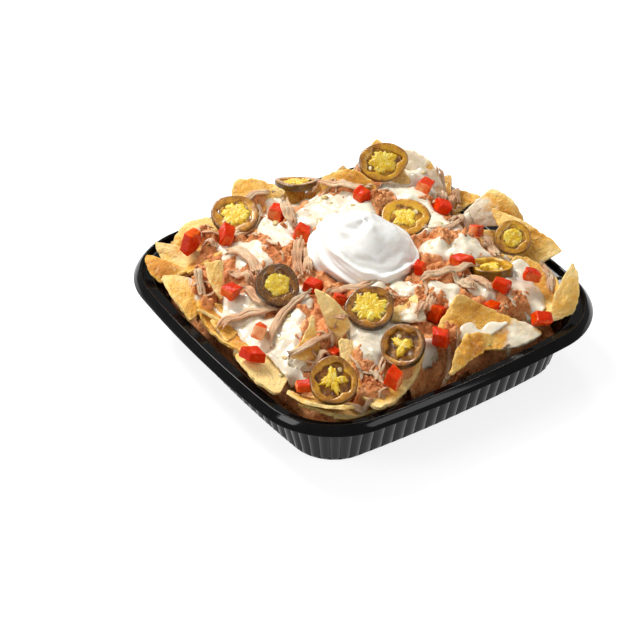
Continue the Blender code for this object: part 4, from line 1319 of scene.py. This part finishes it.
def lights():
    world = bpy.data.worlds.new("studio")
    world.use_nodes = True
    world.node_tree.nodes["Background"].inputs["Color"].default_value = (1, 1, 1, 1)
    world.node_tree.nodes["Background"].inputs["Strength"].default_value = 0.3
    bpy.context.scene.world = world
    area_light("key", (-0.25, 0.85, 1.25), (0, 0, 0.03), (0.6, 0.6), 24)
    area_light("rim", (0.8, 0.85, 1.2), (0, 0, 0.03), (0.25, 0.25), 4)
    area_light("side", (-1.2, 0.1, 0.9), (0, 0, 0.03), (0.5, 0.5), 6)
    area_light("front", (0.5, -1.3, 0.9), (0, 0, 0.03), (0.6, 0.6), 4)
    bpy.context.scene.view_settings.view_transform = "Standard"
    bpy.context.scene.view_settings.look = "None"


def camera():
    data = bpy.data.cameras.new("camera")
    data.sensor_width = 36.0
    data.lens = 109.566
    eye = bpy.data.objects.new("camera", data)
    eye.location = (-0.548496, -0.763387, 0.712495)
    eye.rotation_euler = (math.radians(90 - 36.653), 0, VIEW_TURN)
    bpy.context.scene.collection.objects.link(eye)
    bpy.context.scene.camera = eye


# ---------------------------------------------------------------- making it all


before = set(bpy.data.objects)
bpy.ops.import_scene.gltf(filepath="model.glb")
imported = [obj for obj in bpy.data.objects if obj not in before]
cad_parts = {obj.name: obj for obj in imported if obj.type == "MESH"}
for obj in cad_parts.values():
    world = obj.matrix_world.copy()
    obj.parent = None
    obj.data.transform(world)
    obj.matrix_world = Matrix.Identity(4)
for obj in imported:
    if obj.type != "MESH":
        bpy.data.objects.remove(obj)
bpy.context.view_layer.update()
outline = Outline(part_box("tray")[1].x * PER_M)
camera()
lights()
stage()

corn = fried_corn()
beans = refried_beans()
sauce_finish = cheese_sauce()
pork_finish = shredded_pork()
pepper_wall = pepper_wall_finish()
pepper_placenta = placenta_finish()
pepper_film = membrane_finish()
pepper_seed = seed_finish()
tomato = tomato_finish()

new_piece("tray_shell", tray_shell(), [moulded_black()], ["tray"], sharp=50)

cap = undersides()
inset_of = outline.insets(*cell_places())
heap = node_mesh("heap")
heap_top = closed(heights_of(heap), 7)
heap.free()
chip_top = np.zeros_like(cap)
open_cap = cap
for name, chip in chips() + tucked_chips():
    height = heights_of(chip)
    chip.free()
    chip_top = np.maximum(chip_top, height)
    if name in SHOWN:
        open_cap = np.minimum(open_cap, np.where(height > 0, height - SHOWN[name], 200))
open_cap = kept_in_view(open_cap)
core = np.minimum(core_field(), open_cap + 0.5)
new_piece("filling", core_mesh(core), [beans], ["heap"])
dishes = -grown(-chip_top, 3)
dishes = grown(dishes, 3)
ground = np.maximum(core, np.minimum(dishes, heap_top + 6))
mash_top, mash_inside = laid_mash(ground)
new_piece("bean_mash", sheet(mash_top, mash_inside, 2.5), [beans])
mash_share, _ = dollops(MASH, 1.3, 31)
sauce_share, _ = dollops(SAUCE, 0.8, 53, SAUCE_SWELL)
ground = np.where(mash_inside, np.maximum(ground, mash_top), ground)
ground = np.maximum(ground, np.minimum(chip_top, heap_top + 5))
bare = (mash_share > 0.1) & (sauce_share < -0.25) & (cap > 150)
new_piece("bean_crumbs", crumbs(ground, bare, 420, (1.0, 3.0), 91, 0.3), [beans])
new_piece("meat_shreds", shreds(ground, bare), [pork_finish])
sauce_top, sauce_inside = laid_sauce(ground)
new_piece("cheese_sauce", sheet(sauce_top, sauce_inside, 1.8), [sauce_finish])
ground = np.where(sauce_inside, np.maximum(ground, sauce_top), ground)
ground = np.maximum(ground, np.minimum(chip_top, heap_top + 10))
new_piece("chilli_flecks", crumbs(ground, (sauce_share > 0.3) & (cap > 150), 22, (2.4, 5.0), 97, 0.44, 0.18), [chilli_fleck()])
new_piece("pork_strands", pork(ground), [pork_finish])
jalapenos()
tomatoes()
new_piece("cream_dollop", cream_folds(), [cream_finish()], ["soured_cream"])
